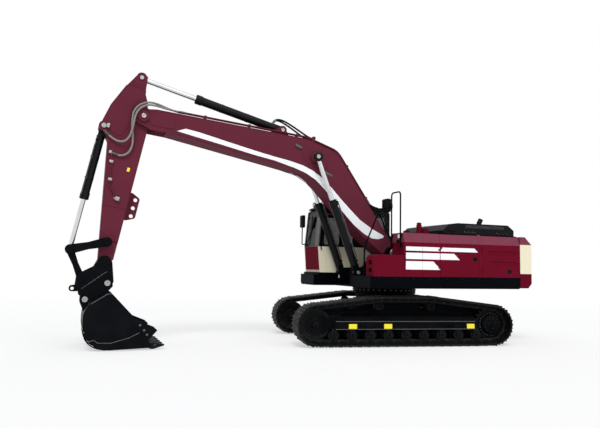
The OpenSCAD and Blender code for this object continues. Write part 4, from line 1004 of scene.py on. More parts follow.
@dataclass
class Hoses(Assembly):
    """All free hoses, their points as in the construction."""

    to_cylinder: Sequence[Point] = (
        (5.045, 0.19, 4.9551), (5.105, 0.19, 4.9606), (5.205, 0.2, 4.967), (5.4, 0.24, 4.985),
        (5.6, 0.285, 5.01), (5.76, 0.318, 5.01), (5.89, 0.335, 4.96), (5.99, 0.342, 4.86),
        (6.045, 0.34, 4.72), (6.07, 0.334, 4.56), (6.105, 0.325, 4.4), (6.155, 0.305, 4.28),
        (6.235, 0.288, 4.205), (6.34, 0.27, 4.195), (6.44, 0.254, 4.235), (6.53, 0.242, 4.3),
        (6.6, 0.234, 4.37))
    to_pipe: Sequence[Point] = (
        (5.045, 0.14, 4.9551), (5.105, 0.14, 4.9606), (5.195, 0.152, 4.975), (5.38, 0.195, 5.012),
        (5.56, 0.24, 5.058), (5.72, 0.275, 5.075), (5.86, 0.292, 5.045), (5.985, 0.3, 4.965),
        (6.07, 0.302, 4.825), (6.092, 0.298, 4.65), (6.085, 0.286, 4.47), (6.068, 0.272, 4.29),
        (6.075, 0.262, 4.13), (6.13, 0.252, 3.995), (6.225, 0.244, 3.92), (6.33, 0.237, 3.908),
        (6.43, 0.23, 3.94))
    foot_near: Sequence[Point] = (
        (0.5582, 0.19, 3.2683), (0.53, 0.19, 3.2278), (0.485, 0.19, 3.186), (0.4, 0.195, 3.145),
        (0.29, 0.2, 3.11), (0.185, 0.205, 3.025), (0.11, 0.205, 2.89), (0.065, 0.205, 2.73),
        (0.02, 0.205, 2.57), (-0.045, 0.2, 2.43), (-0.14, 0.195, 2.325), (-0.255, 0.19, 2.24),
        (-0.335, 0.19, 2.176), (-0.39, 0.19, 2.132), (-0.42, 0.19, 2.12), (-0.4494, 0.19, 2.12))
    foot_mid: Sequence[Point] = (
        (0.5582, 0.14, 3.2683), (0.53, 0.14, 3.2278), (0.487, 0.14, 3.18), (0.405, 0.138, 3.122),
        (0.3, 0.134, 3.07), (0.2, 0.13, 2.985), (0.128, 0.128, 2.86), (0.082, 0.128, 2.71),
        (0.036, 0.128, 2.56), (-0.028, 0.13, 2.425), (-0.12, 0.134, 2.318), (-0.235, 0.138, 2.228),
        (-0.325, 0.14, 2.156), (-0.385, 0.14, 2.11), (-0.418, 0.14, 2.098), (-0.4494, 0.14, 2.098))
    # In the boom's frame, for the near side
    on_boom: Sequence[Point] = (
        (3.932, 0.045, 1.43), (3.918, 0.048, 1.485), (3.865, 0.055, 1.538), (3.775, 0.062, 1.565),
        (3.66, 0.07, 1.572), (3.52, 0.078, 1.566), (3.37, 0.085, 1.554), (3.22, 0.092, 1.54),
        (3.1, 0.098, 1.53), (3.0172, 0.1, 1.53), (2.9675, 0.1, 1.535))
    tip_bend: tuple[Point, Point] = ((5.72, 0.3, 5.03), (6.1, 0.31, 4.4))
    foot_bend: tuple[Point, Point] = ((0.45, 0.19, 3.16), (-0.3, 0.19, 2.22))
    boom_bend: tuple[Point, Point] = ((3.91, 0, 1.5), (3.4, 0, 1.56))

    def build(self) -> None:
        """Make each hose and the ferrules at its ends."""
        boom = self.machine.boom
        bend = tuple(boom @ Vector(p) for p in self.boom_bend)
        near, far = ([boom @ Vector((x, s * y, z)) for x, y, z in self.on_boom] for s in SIDES)
        to_arm, to_house, to_boom = ("boom", "arm"), ("boom", "house"), ("arm_barrel", "boom")
        hoses = [Hose("cylinder_hose", self.to_cylinder, HOSE, to_arm, self.tip_bend),
                 Hose("pipe_hose", self.to_pipe, HOSE, to_arm, self.tip_bend),
                 Hose("foot_hose_near", self.foot_near, LOOP, to_house, self.foot_bend),
                 Hose("foot_hose_mid", self.foot_mid, LOOP, to_house, self.foot_bend),
                 Hose("arm_cylinder_hose_near", near, LOOP, to_boom, bend),
                 Hose("arm_cylinder_hose_far", far, LOOP, to_boom, bend)]
        for hose in hoses:
            hose.build()
        for body in ("boom", "arm", "house", "arm_barrel"):
            shape = Shape()
            for spot, axis in (end for hose in hoses for end in hose.ends(body)):
                self.ferrule(shape, spot, axis, 0.78 if body == "boom" and abs(spot.y) < 0.15 else 1.0)
            shape.build(f"hose_ferrules_{body}", body, BOLT)

    @staticmethod
    def ferrule(shape: Shape, spot: Vector, axis: Vector, slim: float) -> None:
        """Add a crimped ferrule with its nut.

        Args:
            shape: Piece that takes it.
            spot: End of the hose.
            axis: Direction into the hose.
            slim: Factor on its radius.
        """
        lip, sleeve, end, nut, core = 0.028 * slim, 0.0245 * slim, 0.022 * slim, 0.029 * slim, 0.02
        shape.lathe(spot, axis, [(-0.03, core), (0.0, core), (0.0, lip), (0.012, lip), (0.014, sleeve),
                                 (0.085, sleeve), (0.09, end)], 20)
        shape.lathe(spot - axis.normalized() * 0.03, axis, [(-0.024, nut), (0.0, nut)], 6)


def tangent(first: tuple[Vector, float], second: tuple[Vector, float]) -> float:
    """Angle at which a belt leaves one wheel for the next, each given by hub and radius."""
    way = second[0] - first[0]
    return math.atan2(way.y, way.x) - math.acos((first[1] - second[1]) / way.length)


@dataclass
class Undercarriage(Assembly):
    """Tracks, wheels and car body, turned against the house."""

    heading: float = math.radians(-8.6)
    gauge: float = 2.6
    wheel_base: float = 4.08
    wheel_r: float = 0.362
    wheel_z: float = 0.464
    carrier: tuple[float, float, float] = (0.6, 0.86, 0.135)
    roller_span: float = 3.3
    roller_z: float = 0.239
    roller_n: int = 9
    ground_r: float = 0.145
    shoe_n: int = 50
    shoe_top: float = 0.066
    # Where a shoe's bolts stand along the chain and across it
    shoe_bolt: tuple[float, float] = (0.04009, 0.0725)
    link_side: float = 0.095
    link_depth: float = 0.009
    link: Corners = (
        (-0.115, -0.04, 0.03), (-0.045, -0.034, 0.01), (0.045, -0.044, 0.01), (0.118, -0.04, 0.03),
        (0.118, 0.036, 0.03), (0.045, 0.046, 0.01), (-0.045, 0.046, 0.01), (-0.115, 0.036, 0.03))
    # Outer faces, measured from the middle of a track
    sprocket_face: float = 0.066
    drive_face: float = 0.166
    cover_face: float = 0.19
    idler_face: float = 0.103
    axle_face: float = 0.17
    carrier_face: float = 0.107
    roller_face: float = 0.167
    frame_face: float = 0.1902
    inner_face: float = 0.184
    # Dark plates on the inner side of the loop that stand in for the shade there: along the rollers, beside
    # the drive and under the upper run
    shade_screens: Sequence[Corners] = (
        ((-1.98, 0.1, 0.03), (1.98, 0.1, 0.03), (1.98, 0.27, 0.05), (1.66, 0.37, 0.05), (-1.66, 0.37, 0.05),
         (-1.98, 0.34, 0.05)),
        ((-1.92, 0.36, 0.02), (-0.8, 0.36, 0.02), (-0.8, 0.955, 0.02), (-1.99, 0.818, 0.01)),
        ((-0.44, 0.74, 0.02), (0.44, 0.74, 0.02), (0.44, 0.93, 0.03), (-0.44, 0.93, 0.03)))
    plate_x: tuple[float, ...] = (1.242, 0.447, -1.5)
    eye_x: tuple[float, ...] = (1.02, -1.02)

    def frame(self) -> Matrix:
        """Frame of the tracks."""
        return Matrix.Rotation(self.heading, 4, "Z")

    def wheels(self) -> list[tuple[Vector, float]]:
        """List the wheels that the chain's pin line runs round, counter-clockwise from the front.

        Returns:
            Hub in X and Z, and radius.
        """
        base, span = self.wheel_base / 2, self.roller_span / 2
        x, *carrier = self.carrier
        wheel, roller = (self.wheel_z, self.wheel_r), (self.roller_z, self.ground_r)
        rows = ((base, *wheel), (x, *carrier), (-x, *carrier), (-base, *wheel), (-span, *roller),
                (span, *roller))
        return [(Vector((along, z)), r) for along, z, r in rows]

    def chain(self, shift: float) -> list[tuple[Vector, float]]:
        """Places of the shoes, spaced evenly round the pin line.

        Args:
            shift: Share of a step to start from.

        Returns:
            Points in X and Z with the angle of the outward direction.
        """
        wheels = self.wheels()
        legs: list[tuple[float, Vector, float, float, float]] = []
        for before, wheel, after in zip(wheels[-1:] + wheels, wheels, wheels[1:] + wheels[:1]):
            hub, r = wheel
            start, end = tangent(before, wheel), tangent(wheel, after)
            sweep = (end - start) % (2 * math.pi)
            legs.append((r * sweep, hub, r, start, sweep))
            legs.append((math.sqrt((after[0] - hub).length_squared - (r - after[1]) ** 2), hub, r, end, 0.0))
        length = sum(leg[0] for leg in legs)
        places: list[tuple[Vector, float]] = []
        for k in range(self.shoe_n):
            s = (k + shift) * length / self.shoe_n
            for size, hub, r, start, sweep in legs:
                if s <= size:
                    a = start + sweep * s / size
                    straight = 0.0 if sweep else s
                    places.append((hub + Vector((math.cos(a), math.sin(a))) * r
                                   + Vector((-math.sin(a), math.cos(a))) * straight, a))
                    break
                s -= size
        return places

    def build(self) -> None:
        """Dress the nodes and add chain, bolts and plates."""
        self.dress({
            CHASSIS: ("car_body", "track_frames", "final_drives", "slew_ring"),
            TRACK: ("track_near", "track_far", "idlers", "sprockets", "carrier_rollers", "track_rollers")})
        self.chains()
        self.bolts()
        self.plates()

    def chains(self) -> None:
        """Link plates, pin ends and shoe bolts."""
        link = rounded(self.link, 3)
        for side, name in zip(SIDES, ("near", "far")):
            links, bolts = Shape.several(2, self.frame())
            middle = side * self.gauge / 2
            for spot, angle in self.chain(0.0):
                out = Vector((math.cos(angle), 0, math.sin(angle)))
                along = Vector((-math.sin(angle), 0, math.cos(angle)))
                here = Vector((spot.x, middle, spot.y))
                reach, across = self.shoe_bolt
                for s in SIDES:
                    plate = here + Y * s * self.link_side
                    links.prism(link, plate, along, out, Y * s * self.link_depth, 0.003)
                    for way in (-reach, reach):
                        bolts.bolt(here + Y * s * across + along * way + out * self.shoe_top, out, 0.015)
            for spot, _ in self.chain(0.5):
                for s in SIDES:
                    y = middle + s * (self.link_side + self.link_depth)
                    links.disc((spot.x, y, spot.y), Y * s, 0.026, 0.01, 14)
            links.build(f"links_{name}", "undercarriage", TRACK)
            bolts.build(f"shoe_bolts_{name}", "undercarriage", BOLT)

    def bolts(self) -> None:
        """Bolt circles on drives, wheels and rollers, dark plates standing in for the shade inside the loops,
        and weld beads on the frames in light metal as painted highlights.
        """
        bolts, hubs, caps, welds, shade_screens = Shape.several(5, self.frame())
        half = self.wheel_base / 2
        for side in SIDES:
            out, middle = Y * side, side * self.gauge / 2
            rear, front = Vector((-half, middle, self.wheel_z)), Vector((half, middle, self.wheel_z))
            bolts.bolt_ring(rear + out * self.sprocket_face, out, 0.2485, 24, 0.011)
            hubs.bolt_ring(rear + out * self.drive_face, out, 0.165, 12, 0.013)
            hubs.bolt_ring(rear + out * self.cover_face, out, 0.085, 3, 0.016, 0.4)
            caps.lathe(rear + out * self.cover_face, out, [(0, 0.055), (0.01, 0.055), (0.014, 0.045),
                                                           (0.014, 0.012)], 24)
            hubs.bolt_ring(front + out * self.idler_face, out, 0.092, 6, 0.012)
            caps.disc(front + out * self.axle_face, out, 0.032, 0.012)
            for x in (-self.carrier[0], self.carrier[0]):
                spot = Vector((x, middle, self.carrier[1])) + out * self.carrier_face
                caps.lathe(spot, out, [(0, 0.062), (0.008, 0.062), (0.012, 0.05)], 24)
                hubs.bolt_ring(spot + out * 0.01, out, 0.036, 4, 0.008)
            for k in range(self.roller_n):
                x = (k / (self.roller_n - 1) - 0.5) * self.roller_span
                spot = Vector((x, middle, self.roller_z)) + out * self.roller_face
                caps.disc(spot, out, 0.027, 0.008, 16)
                for dx in (-0.026, 0.026):
                    hubs.bolt(spot + Vector((dx, 0, 0.085)), out, 0.01)
            # Dark plates that stand in for the shade inside the loop
            for screen in self.shade_screens:
                shade_screens.side(rounded(screen), middle - side * self.inner_face, side * 0.01, 0.003)
            # Weld beads along the frame in light metal, so they also stand as painted highlights along its
            # edges
            y = middle + side * 0.1905
            for z in (0.374, 0.5385):
                welds.bead([(-1.6, y, z), (1.62, y, z)], 0.008, 0.03)
        bolts.build("running_gear_bolts", "undercarriage", BOLT)
        hubs.build("hub_bolts", "undercarriage", BLACK_BOLT)
        caps.build("hub_caps", "undercarriage", CHASSIS)
        welds.build("frame_highlight_welds", "undercarriage", GREY)
        shade_screens.build("track_shade_screens", "undercarriage", CHASSIS)

    def plates(self) -> None:
        """Blank yellow plates and tie-down eyes on the track frames."""
        plates, rivets, eyes = Shape.several(3, self.frame())
        for side in SIDES:
            y = side * (self.gauge / 2 + self.frame_face)
            for x in self.plate_x:
                plates.side(rectangle(x - 0.092, 0.385, x + 0.092, 0.487, 0.012), y, side * 0.003, 0.001)
                for dx in (-0.08, 0.08):
                    rivets.disc((x + dx, y + side * 0.003, 0.436), Y * side, 0.006, 0.003, 10)
            for x in self.eye_x:
                foot, crown = y - side * 0.002, y + side * 0.05
                eyes.pipe([(x - 0.06, foot, 0.43), (x - 0.05, crown, 0.46), (x + 0.05, crown, 0.46),
                           (x + 0.06, foot, 0.43)], 0.011, 0.03, 10)
        plates.build("frame_plates", "undercarriage", YELLOW)
        rivets.build("frame_rivets", "undercarriage", BOLT)
        eyes.build("tie_down_eyes", "undercarriage", CHASSIS)


@dataclass
class House(Assembly):
    """Deck, tanks, doors, hood and counterweight."""

    side: float = 1.5
    panel_top: float = 2.48
    tank_front: float = 0.32
    # Place along X of the hoop, and of its two posts along Y
    hoop: tuple[float, float, float] = (0.349, 0.97, 1.365)
    rail_r: float = 0.017
    rail_bend: float = 0.09
    lean_rail: Sequence[Point] = (
        (1.13, 1.16, 1.51), (1.13, 1.16, 2.15), (0.915, 1.11, 2.58), (0.7, 1.055, 3.01), (0.379, 0.982, 3.08))
    creases: dict[str, tuple[float, float]] = field(default_factory=lambda: {
        "near_front_door": (-1.645, -0.612), "near_rear_door": (-2.813, -1.749)})
    # Place along X, height and side of each door's latch
    latch_at: dict[str, tuple[float, float, int]] = field(default_factory=lambda: {
        "near_front_door": (-1.545, 1.93, NEAR), "near_rear_door": (-2.52, 1.66, NEAR),
        "far_front_door": (-1.545, 1.93, FAR), "far_rear_door": (-2.275, 1.93, FAR)})
    # Three tapering stripes, cut where one body ends and the next begins
    stripes: dict[str, Sequence[Outline]] = field(default_factory=lambda: {
        "house": ([(0.285, 2.175), (-0.588, 2.175), (-0.588, 2.085), (0.285, 2.085)],
                  [(0.285, 2.04), (-0.588, 2.04), (-0.588, 1.9), (0.285, 1.9)],
                  [(0.285, 1.855), (-0.4165, 1.855), (-0.588, 1.69909), (-0.588, 1.67), (0.285, 1.67)]),
        "near_front_door": ([(-0.604, 2.175), (-1.521, 2.175), (-1.62, 2.085), (-0.604, 2.085)],
                            [(-0.604, 2.04), (-0.966, 2.04), (-1.12, 1.9), (-0.604, 1.9)])})
    # Middle and half sizes of the mirrors' heads
    mirror_at: Sequence[tuple[Point, Point]] = (
        ((0.4, 0.8, 3.13), (0.06, 0.125, 0.155)), ((1.59, -1.465, 2.85), (0.04, 0.11, 0.16)))
    lamp_y: tuple[float, float] = (-1.3, -0.72)
    # Place, height over the panels and radius of the filler caps
    filler_at: Sequence[Point] = ((-0.32, 1.06, 0.243, 0.05), (0.09, 1.19, 0.039, 0.066))
    # Corners and height of the grip pads
    pad_at: Sequence[Point] = (
        (-0.56, 1.2, -0.18, 1.4, 2.48), (-0.1, 1.28, 0.28, 1.4, 2.48), (-0.1, 0.98, 0.28, 1.1, 2.48),
        (0.36, 1.16, 0.91, 1.46, 1.985))
    stud_step: float = 0.045
    step_z: tuple[float, float] = (1.59, 1.76)
    hood_side: float = 1.0
    hood_top: float = 2.79
    slat_n: int = 36
    slat_step: float = 0.0315

    def build(self) -> None:
        """Dress the nodes and add graphics, latches, rails and fittings."""
        self.dress({
            PANEL: ("toolbox", "fuel_tank", "hydraulic_tank", *self.latch_at),
            COUNTERWEIGHT: ("counterweight",), BLACK: ("deck_rim", "handrails"), FRAME: ("house_frame",),
            HOOD: ("hood", "exhaust_stack"), CHASSIS: ("main_frame",), GREY: ("engine",),
            PLASTIC: ("mirrors", "work_lamps")})
        self.panels()
        self.rails()
        self.mirrors()
        self.lamps()
        self.tops()
        self.edges()
        self.hood_fittings()

    def panels(self) -> None:
        """Stripes, paddle latches and creases on the sides."""
        for body, outlines in self.stripes.items():
            shape = Shape()
            for outline in outlines:
                shape.side(outline, self.side, FILM, FILM_EDGE)
            shape.build(f"stripes_{body}", body, WHITE)
        for body, (x, z, side) in self.latch_at.items():
            latch, y = Shape(), side * self.side
            face = y + side * 0.006
            latch.side(rectangle(x - 0.06, z - 0.045, x + 0.06, z + 0.045, 0.018), y, side * 0.006, 0.003)
            latch.side(rectangle(x - 0.045, z - 0.012, x + 0.035, z + 0.03, 0.008), face, side * 0.01, 0.004)
            latch.disc((x + 0.03, face, z - 0.026), Y * side, 0.012, 0.006, 16)
            latch.build(f"latch_{body}", body, PLASTIC)
        for body, ends in self.creases.items():
            trim = Shape()
            trim.bead([(x, self.side + CLEAR, 2.268) for x in ends], 0.003, 0.2)
            trim.build(f"crease_{body}", body, PANEL)

    def rails(self) -> None:
        """Round handrails with bolted feet: the hoop on the tank and the rail that leans back to it."""
        shape = Shape()
        x, inner, outer = self.hoop
        hoop = [(x, inner, 2.15), (x, inner, 3.4), (x, outer, 3.4), (x, outer, 2.15)]
        for line in (hoop, self.lean_rail):
            shape.pipe(line, self.rail_r, self.rail_bend, 18)
        face = self.tank_front + CLEAR
        for y in (inner, outer):
            for z in (2.21, 2.42):
                shape.box((face, y - 0.012, z - 0.02), (x, y + 0.012, z + 0.02), 0.004)
                shape.front(rectangle(y - 0.034, z - 0.028, y + 0.034, z + 0.028, 0.01), face, 0.006, 0.002)
                for dy in (-0.024, 0.024):
                    shape.bolt((face + 0.006, y + dy, z), X, 0.007)
        shape.top(rectangle(1.105, 1.12, 1.155, 1.2, 0.012), 1.5105, 0.009, 0.003)
        for y in (1.133, 1.187):
            shape.bolt((1.13, y, 1.5195), Z, 0.008)
        shape.collar((x, inner, 3.055), Z, 0.025, 0.05, 18)
        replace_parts(shape.build("round_handrails", "house", BLACK), "handrails")

    def mirrors(self) -> None:
        """Mirror heads with rounded backs, their glass and arms."""
        heads, glass = Shape.several(2)
        for centre, (deep, wide, tall) in self.mirror_at:
            middle, face = Vector(centre), rectangle(-wide, -tall, wide, tall, 0.035)
            rings = ((-deep, 0.006), (-deep + 0.012, 0.0), (deep * 0.3, 0.0), (deep * 0.8, 0.02),
                     (deep, 0.05))
            heads.skin([[middle + Vector((x, u, v)) for u, v in inset(face, d)] for x, d in rings])
            glass.prism(inset(face, 0.014), middle - X * (deep + CLEAR), Y, Z, X * -0.002, 0.001)
        x, y = self.hoop[:2]
        heads.pipe([(x, y - 0.016, 3.13), (x, 0.918, 3.13)], 0.014, 0.01)
        heads.pipe([(1.5037, -1.465, 2.26), (1.59, -1.465, 2.26), (1.59, -1.465, 2.7)], 0.014, 0.03)
        heads.collar((x, y, 3.105), Z, 0.024, 0.05, 16)
        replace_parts(heads.build("mirror_heads", "house", PLASTIC), "mirrors")
        glass.build("mirror_faces", "house", MIRROR)

    def lamps(self) -> None:
        """Lamp lenses, rims and brackets on the cab roof."""
        rims, lens = Shape.several(2)
        for y in self.lamp_y:
            spot = Vector((1.34, y, 3.28))
            rims.lathe(spot - X * 0.006, X, [(0, 0.066), (0.014, 0.066), (0.018, 0.062), (0.018, 0.055),
                                             (0.008, 0.054)], 28)
            lens.lathe(spot, X, [(0.001, 0.053), (0.006, 0.05), (0.011, 0.03), (0.012, 0.004)], 28)
            for s in SIDES:
                rims.box((1.285, y + s * 0.066 - 0.004, 3.21), (1.325, y + s * 0.066 + 0.004, 3.285), 0.003)
                rims.bolt((1.305, y + s * 0.07, 3.28), Y * s, 0.009)
        rims.build("lamp_rims", "house", PLASTIC)
        lens.build("lamp_lenses", "house", LENS)

    def tops(self) -> None:
        """Caps, grip pads and lids on the tanks, and treads in the steps."""
        caps, pads, studs, treads = Shape.several(4)
        for x, y, rise, r in self.filler_at:
            low, rim = self.panel_top + rise, r * 1.06
            caps.lathe((x, y, low), Z, [(0, rim), (0.012, rim), (0.02, r * 0.98), (0.022, r * 0.5),
                                        (0.03, r * 0.4), (0.03, 0.004)], 28)
            for a in angles(14):
                u, v = x + math.cos(a) * rim, y + math.sin(a) * rim
                caps.box((u - 0.004, v - 0.004, low + 0.001), (u + 0.004, v + 0.004, low + 0.015), 0.0015)
        lid_x, lid_y, lid_z = -0.465, 1.08, self.panel_top + 0.119
        caps.disc((lid_x, lid_y, lid_z), Z, 0.084, 0.014, 32)
        caps.bolt_ring((lid_x, lid_y, lid_z + 0.014), Z, 0.066, 8, 0.008)
        for x0, y0, x1, y1, z in self.pad_at:
            pads.top(rectangle(x0, y0, x1, y1, 0.03), z, 0.004, 0.002)
            for i in range(int((x1 - x0) / self.stud_step)):
                for j in range(int((y1 - y0) / self.stud_step)):
                    spot = (x0 + 0.03 + i * self.stud_step, y0 + 0.03 + j * self.stud_step, z + 0.004)
                    studs.disc(spot, Z, 0.009, 0.004, 8)
        for z in self.step_z:
            treads.top(rectangle(0.975, 1.24, 1.065, 1.385, 0.004), z + CLEAR, 0.005, 0.002)
            for k in range(4):
                y = 1.25 + k * 0.0365
                rib = [(0.98, y), (1.062, y), (1.062, y + 0.016), (0.98, y + 0.016)]
                treads.top(rib, z + CLEAR + 0.005, 0.009, 0.004)
        caps.build("tank_caps", "house", PLASTIC)
        pads.build("grip_pads", "house", GRIP)
        studs.build("grip_studs", "house", GRIP)
        treads.build("step_treads", "house", GRIP)

    def edges(self) -> None:
        """Bolts along the skirts, the slew ring and the pin bosses, and seams between the panels."""
        bolts, keepers, seams, heads, plate = Shape.several(5)
        for side in SIDES:
            for k in range(9):
                bolts.bolt((0.95 - k * 0.43, side * self.side, 1.475), Y * side, 0.011)
            keepers.pin_cap((-0.05, side * 0.362, 2.05), Y * side, 0.1, 4)
        bolts.bolt_ring((0, 0, 1.09), -Z, 0.706, 44, 0.015)
        for a in angles(36, math.radians(3)):
            out = Vector((math.cos(a), math.sin(a), 0))
            heads.bolt(out * 0.7498 + Z * 1.178, out, 0.014)
        heads.build("slew_bolts", "house", BOLT)
        keepers.pin_cap((0.947, 0.513, 1.574), Y, 0.044, 2)
        for x, top in ((-0.1395, 2.265), (0.3205, 1.98)):
            seams.bead([(x, self.side - 0.001, z) for z in (1.515, top)], 0.004, 0.2)
        plate.front(rectangle(1.205, 2.365, 1.285, 2.445, 0.008), self.tank_front, 0.003, 0.001)
        plate.build("tank_plate", "house", WHITE)
        seams.box((self.tank_front, 1.2, 2.26), (self.tank_front + 0.035, 1.27, 2.33), 0.008)
        bolts.build("skirt_bolts", "house", BLACK_BOLT)
        keepers.build("foot_pin_caps", "house", PIN)
        seams.build("tank_seams", "house", SEAL)

    def hood_fittings(self) -> None:
        """Grab handles, latches, slanted slats and bolts on the hood."""
        grabs, slats, bolts, ribs = Shape.several(4)
        face = self.hood_side - CLEAR
        for x in (-1.25, -2.75):
            grabs.pipe([(x - 0.09, face, 2.6), (x - 0.09, 1.045, 2.6), (x + 0.09, 1.045, 2.6),
                        (x + 0.09, face, 2.6)], 0.009, 0.025, 10)
            grabs.side(rectangle(x - 0.03, 2.515, x + 0.03, 2.555, 0.01), self.hood_side, 0.01, 0.004)
        for k in range(self.slat_n):
            x = -1.655 - k * self.slat_step
            slat = [(x, 2.676), (x + 0.014, 2.676), (x - 0.01, 2.754), (x - 0.024, 2.754)]
            slats.side(slat, face, 0.01, 0.003)
        for x in (-1.62, -2.56):
            for k in range(6):
                bolts.bolt((x - k * 0.06, self.hood_side, 2.585 - 0.012 * (k % 2)), Y, 0.01)
        for y in (-0.62, -0.22, 0.18):
            ribs.top(rectangle(-2.78, y, -1.5, y + 0.26, 0.05), self.hood_top - CLEAR, 0.012, 0.01)
        ribs.build("hood_ribs", "hood", HOOD)
        grabs.build("hood_grabs", "hood", BLACK_BOLT)
        slats.build("hood_slats", "hood", SLAT)
        bolts.build("hood_bolts", "hood", BOLT)


@dataclass
class Cab(Assembly):
    """The cab on the far side: shell, glazing and workplace."""

    outer: float = -1.5
    inner: float = -0.52
    seat_y: float = -1.01
    seat_z: float = 1.9403
    roof_z: float = 3.21
    cushion: Outline = (
        (0.235, 0.004), (0.75, 0.004), (0.772, 0.06), (0.745, 0.108), (0.36, 0.098), (0.235, 0.06))
    back: Outline = (
        (0.205, 0.085), (0.345, 0.105), (0.285, 0.42), (0.222, 0.77), (0.165, 0.787), (0.116, 0.77),
        (0.16, 0.4))
    # Share of the half width and how far the seat's outline draws in there
    bolsters: Outline = (
        (-1.0, 0.022), (-0.97, 0.008), (-0.86, 0.0), (-0.62, 0.004), (-0.5, 0.014), (0.0, 0.01), (0.5, 0.014),
        (0.62, 0.004), (0.86, 0.0), (0.97, 0.008), (1.0, 0.022))

    def build(self) -> None:
        """Dress the nodes and add seals, wiper, seat and controls."""
        self.dress({
            CAB_BLACK: ("cab_frame", "cab_door"), BLACK: ("cab_base", "cab_roof"),
            BURGUNDY: ("cab_front_panel",), GLASS: ("cab_glass", "cab_door_glass"),
            PLASTIC: ("cab_interior",), CLOTH: ("seat",)})
        self.seals()
        self.front()
        self.seat()
        self.workplace()
        self.roof()

    def seals(self) -> None:
        """Rubber beads round the panes."""
        fixed, door = Shape.several(2)
        low, high = 2.23, 3.06
        for y, rear, front in ((self.inner - 0.003, -0.33, 1.4), (self.outer + 0.003, -0.33, 0.35)):
            line = inset(rounded([(rear, low, 0.06), (front, low, 0.06), (front - 0.06, high, 0.08),
                                  (rear, high, 0.08)]), 0.004)
            fixed.tube([(x, y, z) for x, z in line + line[:1]], 0.009, 8)
        pane = inset(rounded([(0.52, 1.86, 0.06), (1.24, 1.86, 0.06), (1.24, 2.2, 0.1), (1.18, 2.99, 0.06),
                              (0.52, 2.99, 0.06)]), 0.004)
        door.tube([(x, self.outer + 0.004, z) for x, z in pane + pane[:1]], 0.008, 8)
        fixed.pipe([(1.49, -1.425, 2.2), (1.4, -1.425, high), (1.4, -0.595, high), (1.49, -0.595, 2.2)],
                   0.01, 0.04, 8)
        fixed.build("window_seals", "house", SEAL)
        door.box((1.215, self.outer - 0.046, 2.05), (1.265, self.outer - 0.028, 2.19), 0.006)
        door.build("door_seal", "cab_door", SEAL)

    def front(self) -> None:
        """Wiper, grab rail and blank plate at the front."""
        wiper, plate = Shape.several(2)
        wiper.tube(spline([(1.485, -1.35, 2.24), (1.478, -1.25, 2.45), (1.452, -1.1, 2.72)]), 0.008, 8)
        wiper.box((1.444, -1.13, 2.38), (1.462, -1.11, 2.98), 0.004)
        wiper.disc((1.47, -1.35, 2.24), X, 0.03, 0.03)
        wiper.pipe([(1.435, -0.5195, 2.12), (1.47, -0.485, 2.12), (1.4, -0.485, 2.95),
                    (1.365, -0.5195, 2.95)], 0.012, 0.03, 10)
        plate.front(rectangle(-0.3405, 1.44, -0.2945, 1.508, 0.006), 1.0598, 0.002, 0.0008)
        wiper.build("wiper_and_grab", "house", BLACK)
        plate.build("blank_plate", "house", WHITE)

    def seat(self) -> None:
        """A stuffed seat with bolsters and piping in place of its plain solid."""
        data, piping = Shape.several(2)
        half = 0.236
        for outline, reach in ((self.cushion, half), (self.back, 0.232)):
            smooth = [(p.x, p.z) for p in spline([(x, 0, z) for x, z in outline + outline[:1]], 5)[:-1]]
            data.skin([[Vector((x, self.seat_y + share * reach, self.seat_z + z))
                        for x, z in inset(smooth, deep)] for share, deep in self.bolsters])
        piece = data.build("seat_cushions", "house", CLOTH, 60)
        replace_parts(piece, "seat")
        for side in SIDES:
            y = self.seat_y + side * half / 2
            line = ((0.4, 0.09), (0.55, 0.095), (0.7, 0.098))
            piping.tube(spline([(x, y, self.seat_z + z) for x, z in line]), 0.004, 6)
        piping.build("seat_piping", "house", SEAL)

    def workplace(self) -> None:
        """Lever knobs, pads on the consoles, a blank screen and pedal plates."""
        knobs, pads = Shape.several(2)
        lean = 0.244
        for s in SIDES:
            y, pedal = self.seat_y + s * 0.33, self.seat_y + s * 0.09
            knobs.lathe((0.82, y, 2.33), Z, [(0, 0.022), (0.012, 0.034), (0.05, 0.038), (0.085, 0.03),
                                             (0.1, 0.008)])
            knobs.lathe((0.82, y, 2.165), Z, [(0, 0.055), (0.02, 0.05), (0.05, 0.03), (0.08, 0.024)])
            pads.box((0.33, y - 0.055, 2.171), (0.68, y + 0.055, 2.205), 0.014)
            spot = Vector((1.24, pedal, 1.62)) + Vector((math.sin(lean), 0, math.cos(lean))) * 0.51
            knobs.lathe(spot, Z, [(0, 0.016), (0.02, 0.026), (0.05, 0.024), (0.06, 0.008)], 16)
            pads.box((1.17, pedal - 0.05, 1.625), (1.36, pedal + 0.05, 1.66), 0.008)
        pads.box((1.2, -0.66, 2.35), (1.23, -0.6, 2.52), 0.008)
        knobs.build("lever_knobs", "house", SEAL)
        pads.build("console_pads", "house", PLASTIC)

    def roof(self) -> None:
        """Hatch with its handle and hinges on the roof."""
        hatch = Shape()
        hatch.top(rectangle(0.05, -1.3, 0.9, -0.72, 0.06), self.roof_z - CLEAR, 0.022, 0.01)
        hatch.pipe([(0.8, -1.09, 3.23), (0.8, -1.09, 3.255), (0.8, -0.93, 3.255), (0.8, -0.93, 3.23)], 0.009,
                   0.02, 8)
        for x in (0.15, 0.6):
            hatch.box((x - 0.04, -0.725, 3.212), (x + 0.04, -0.69, 3.236), 0.005)
        hatch.build("roof_hatch", "house", PLASTIC)


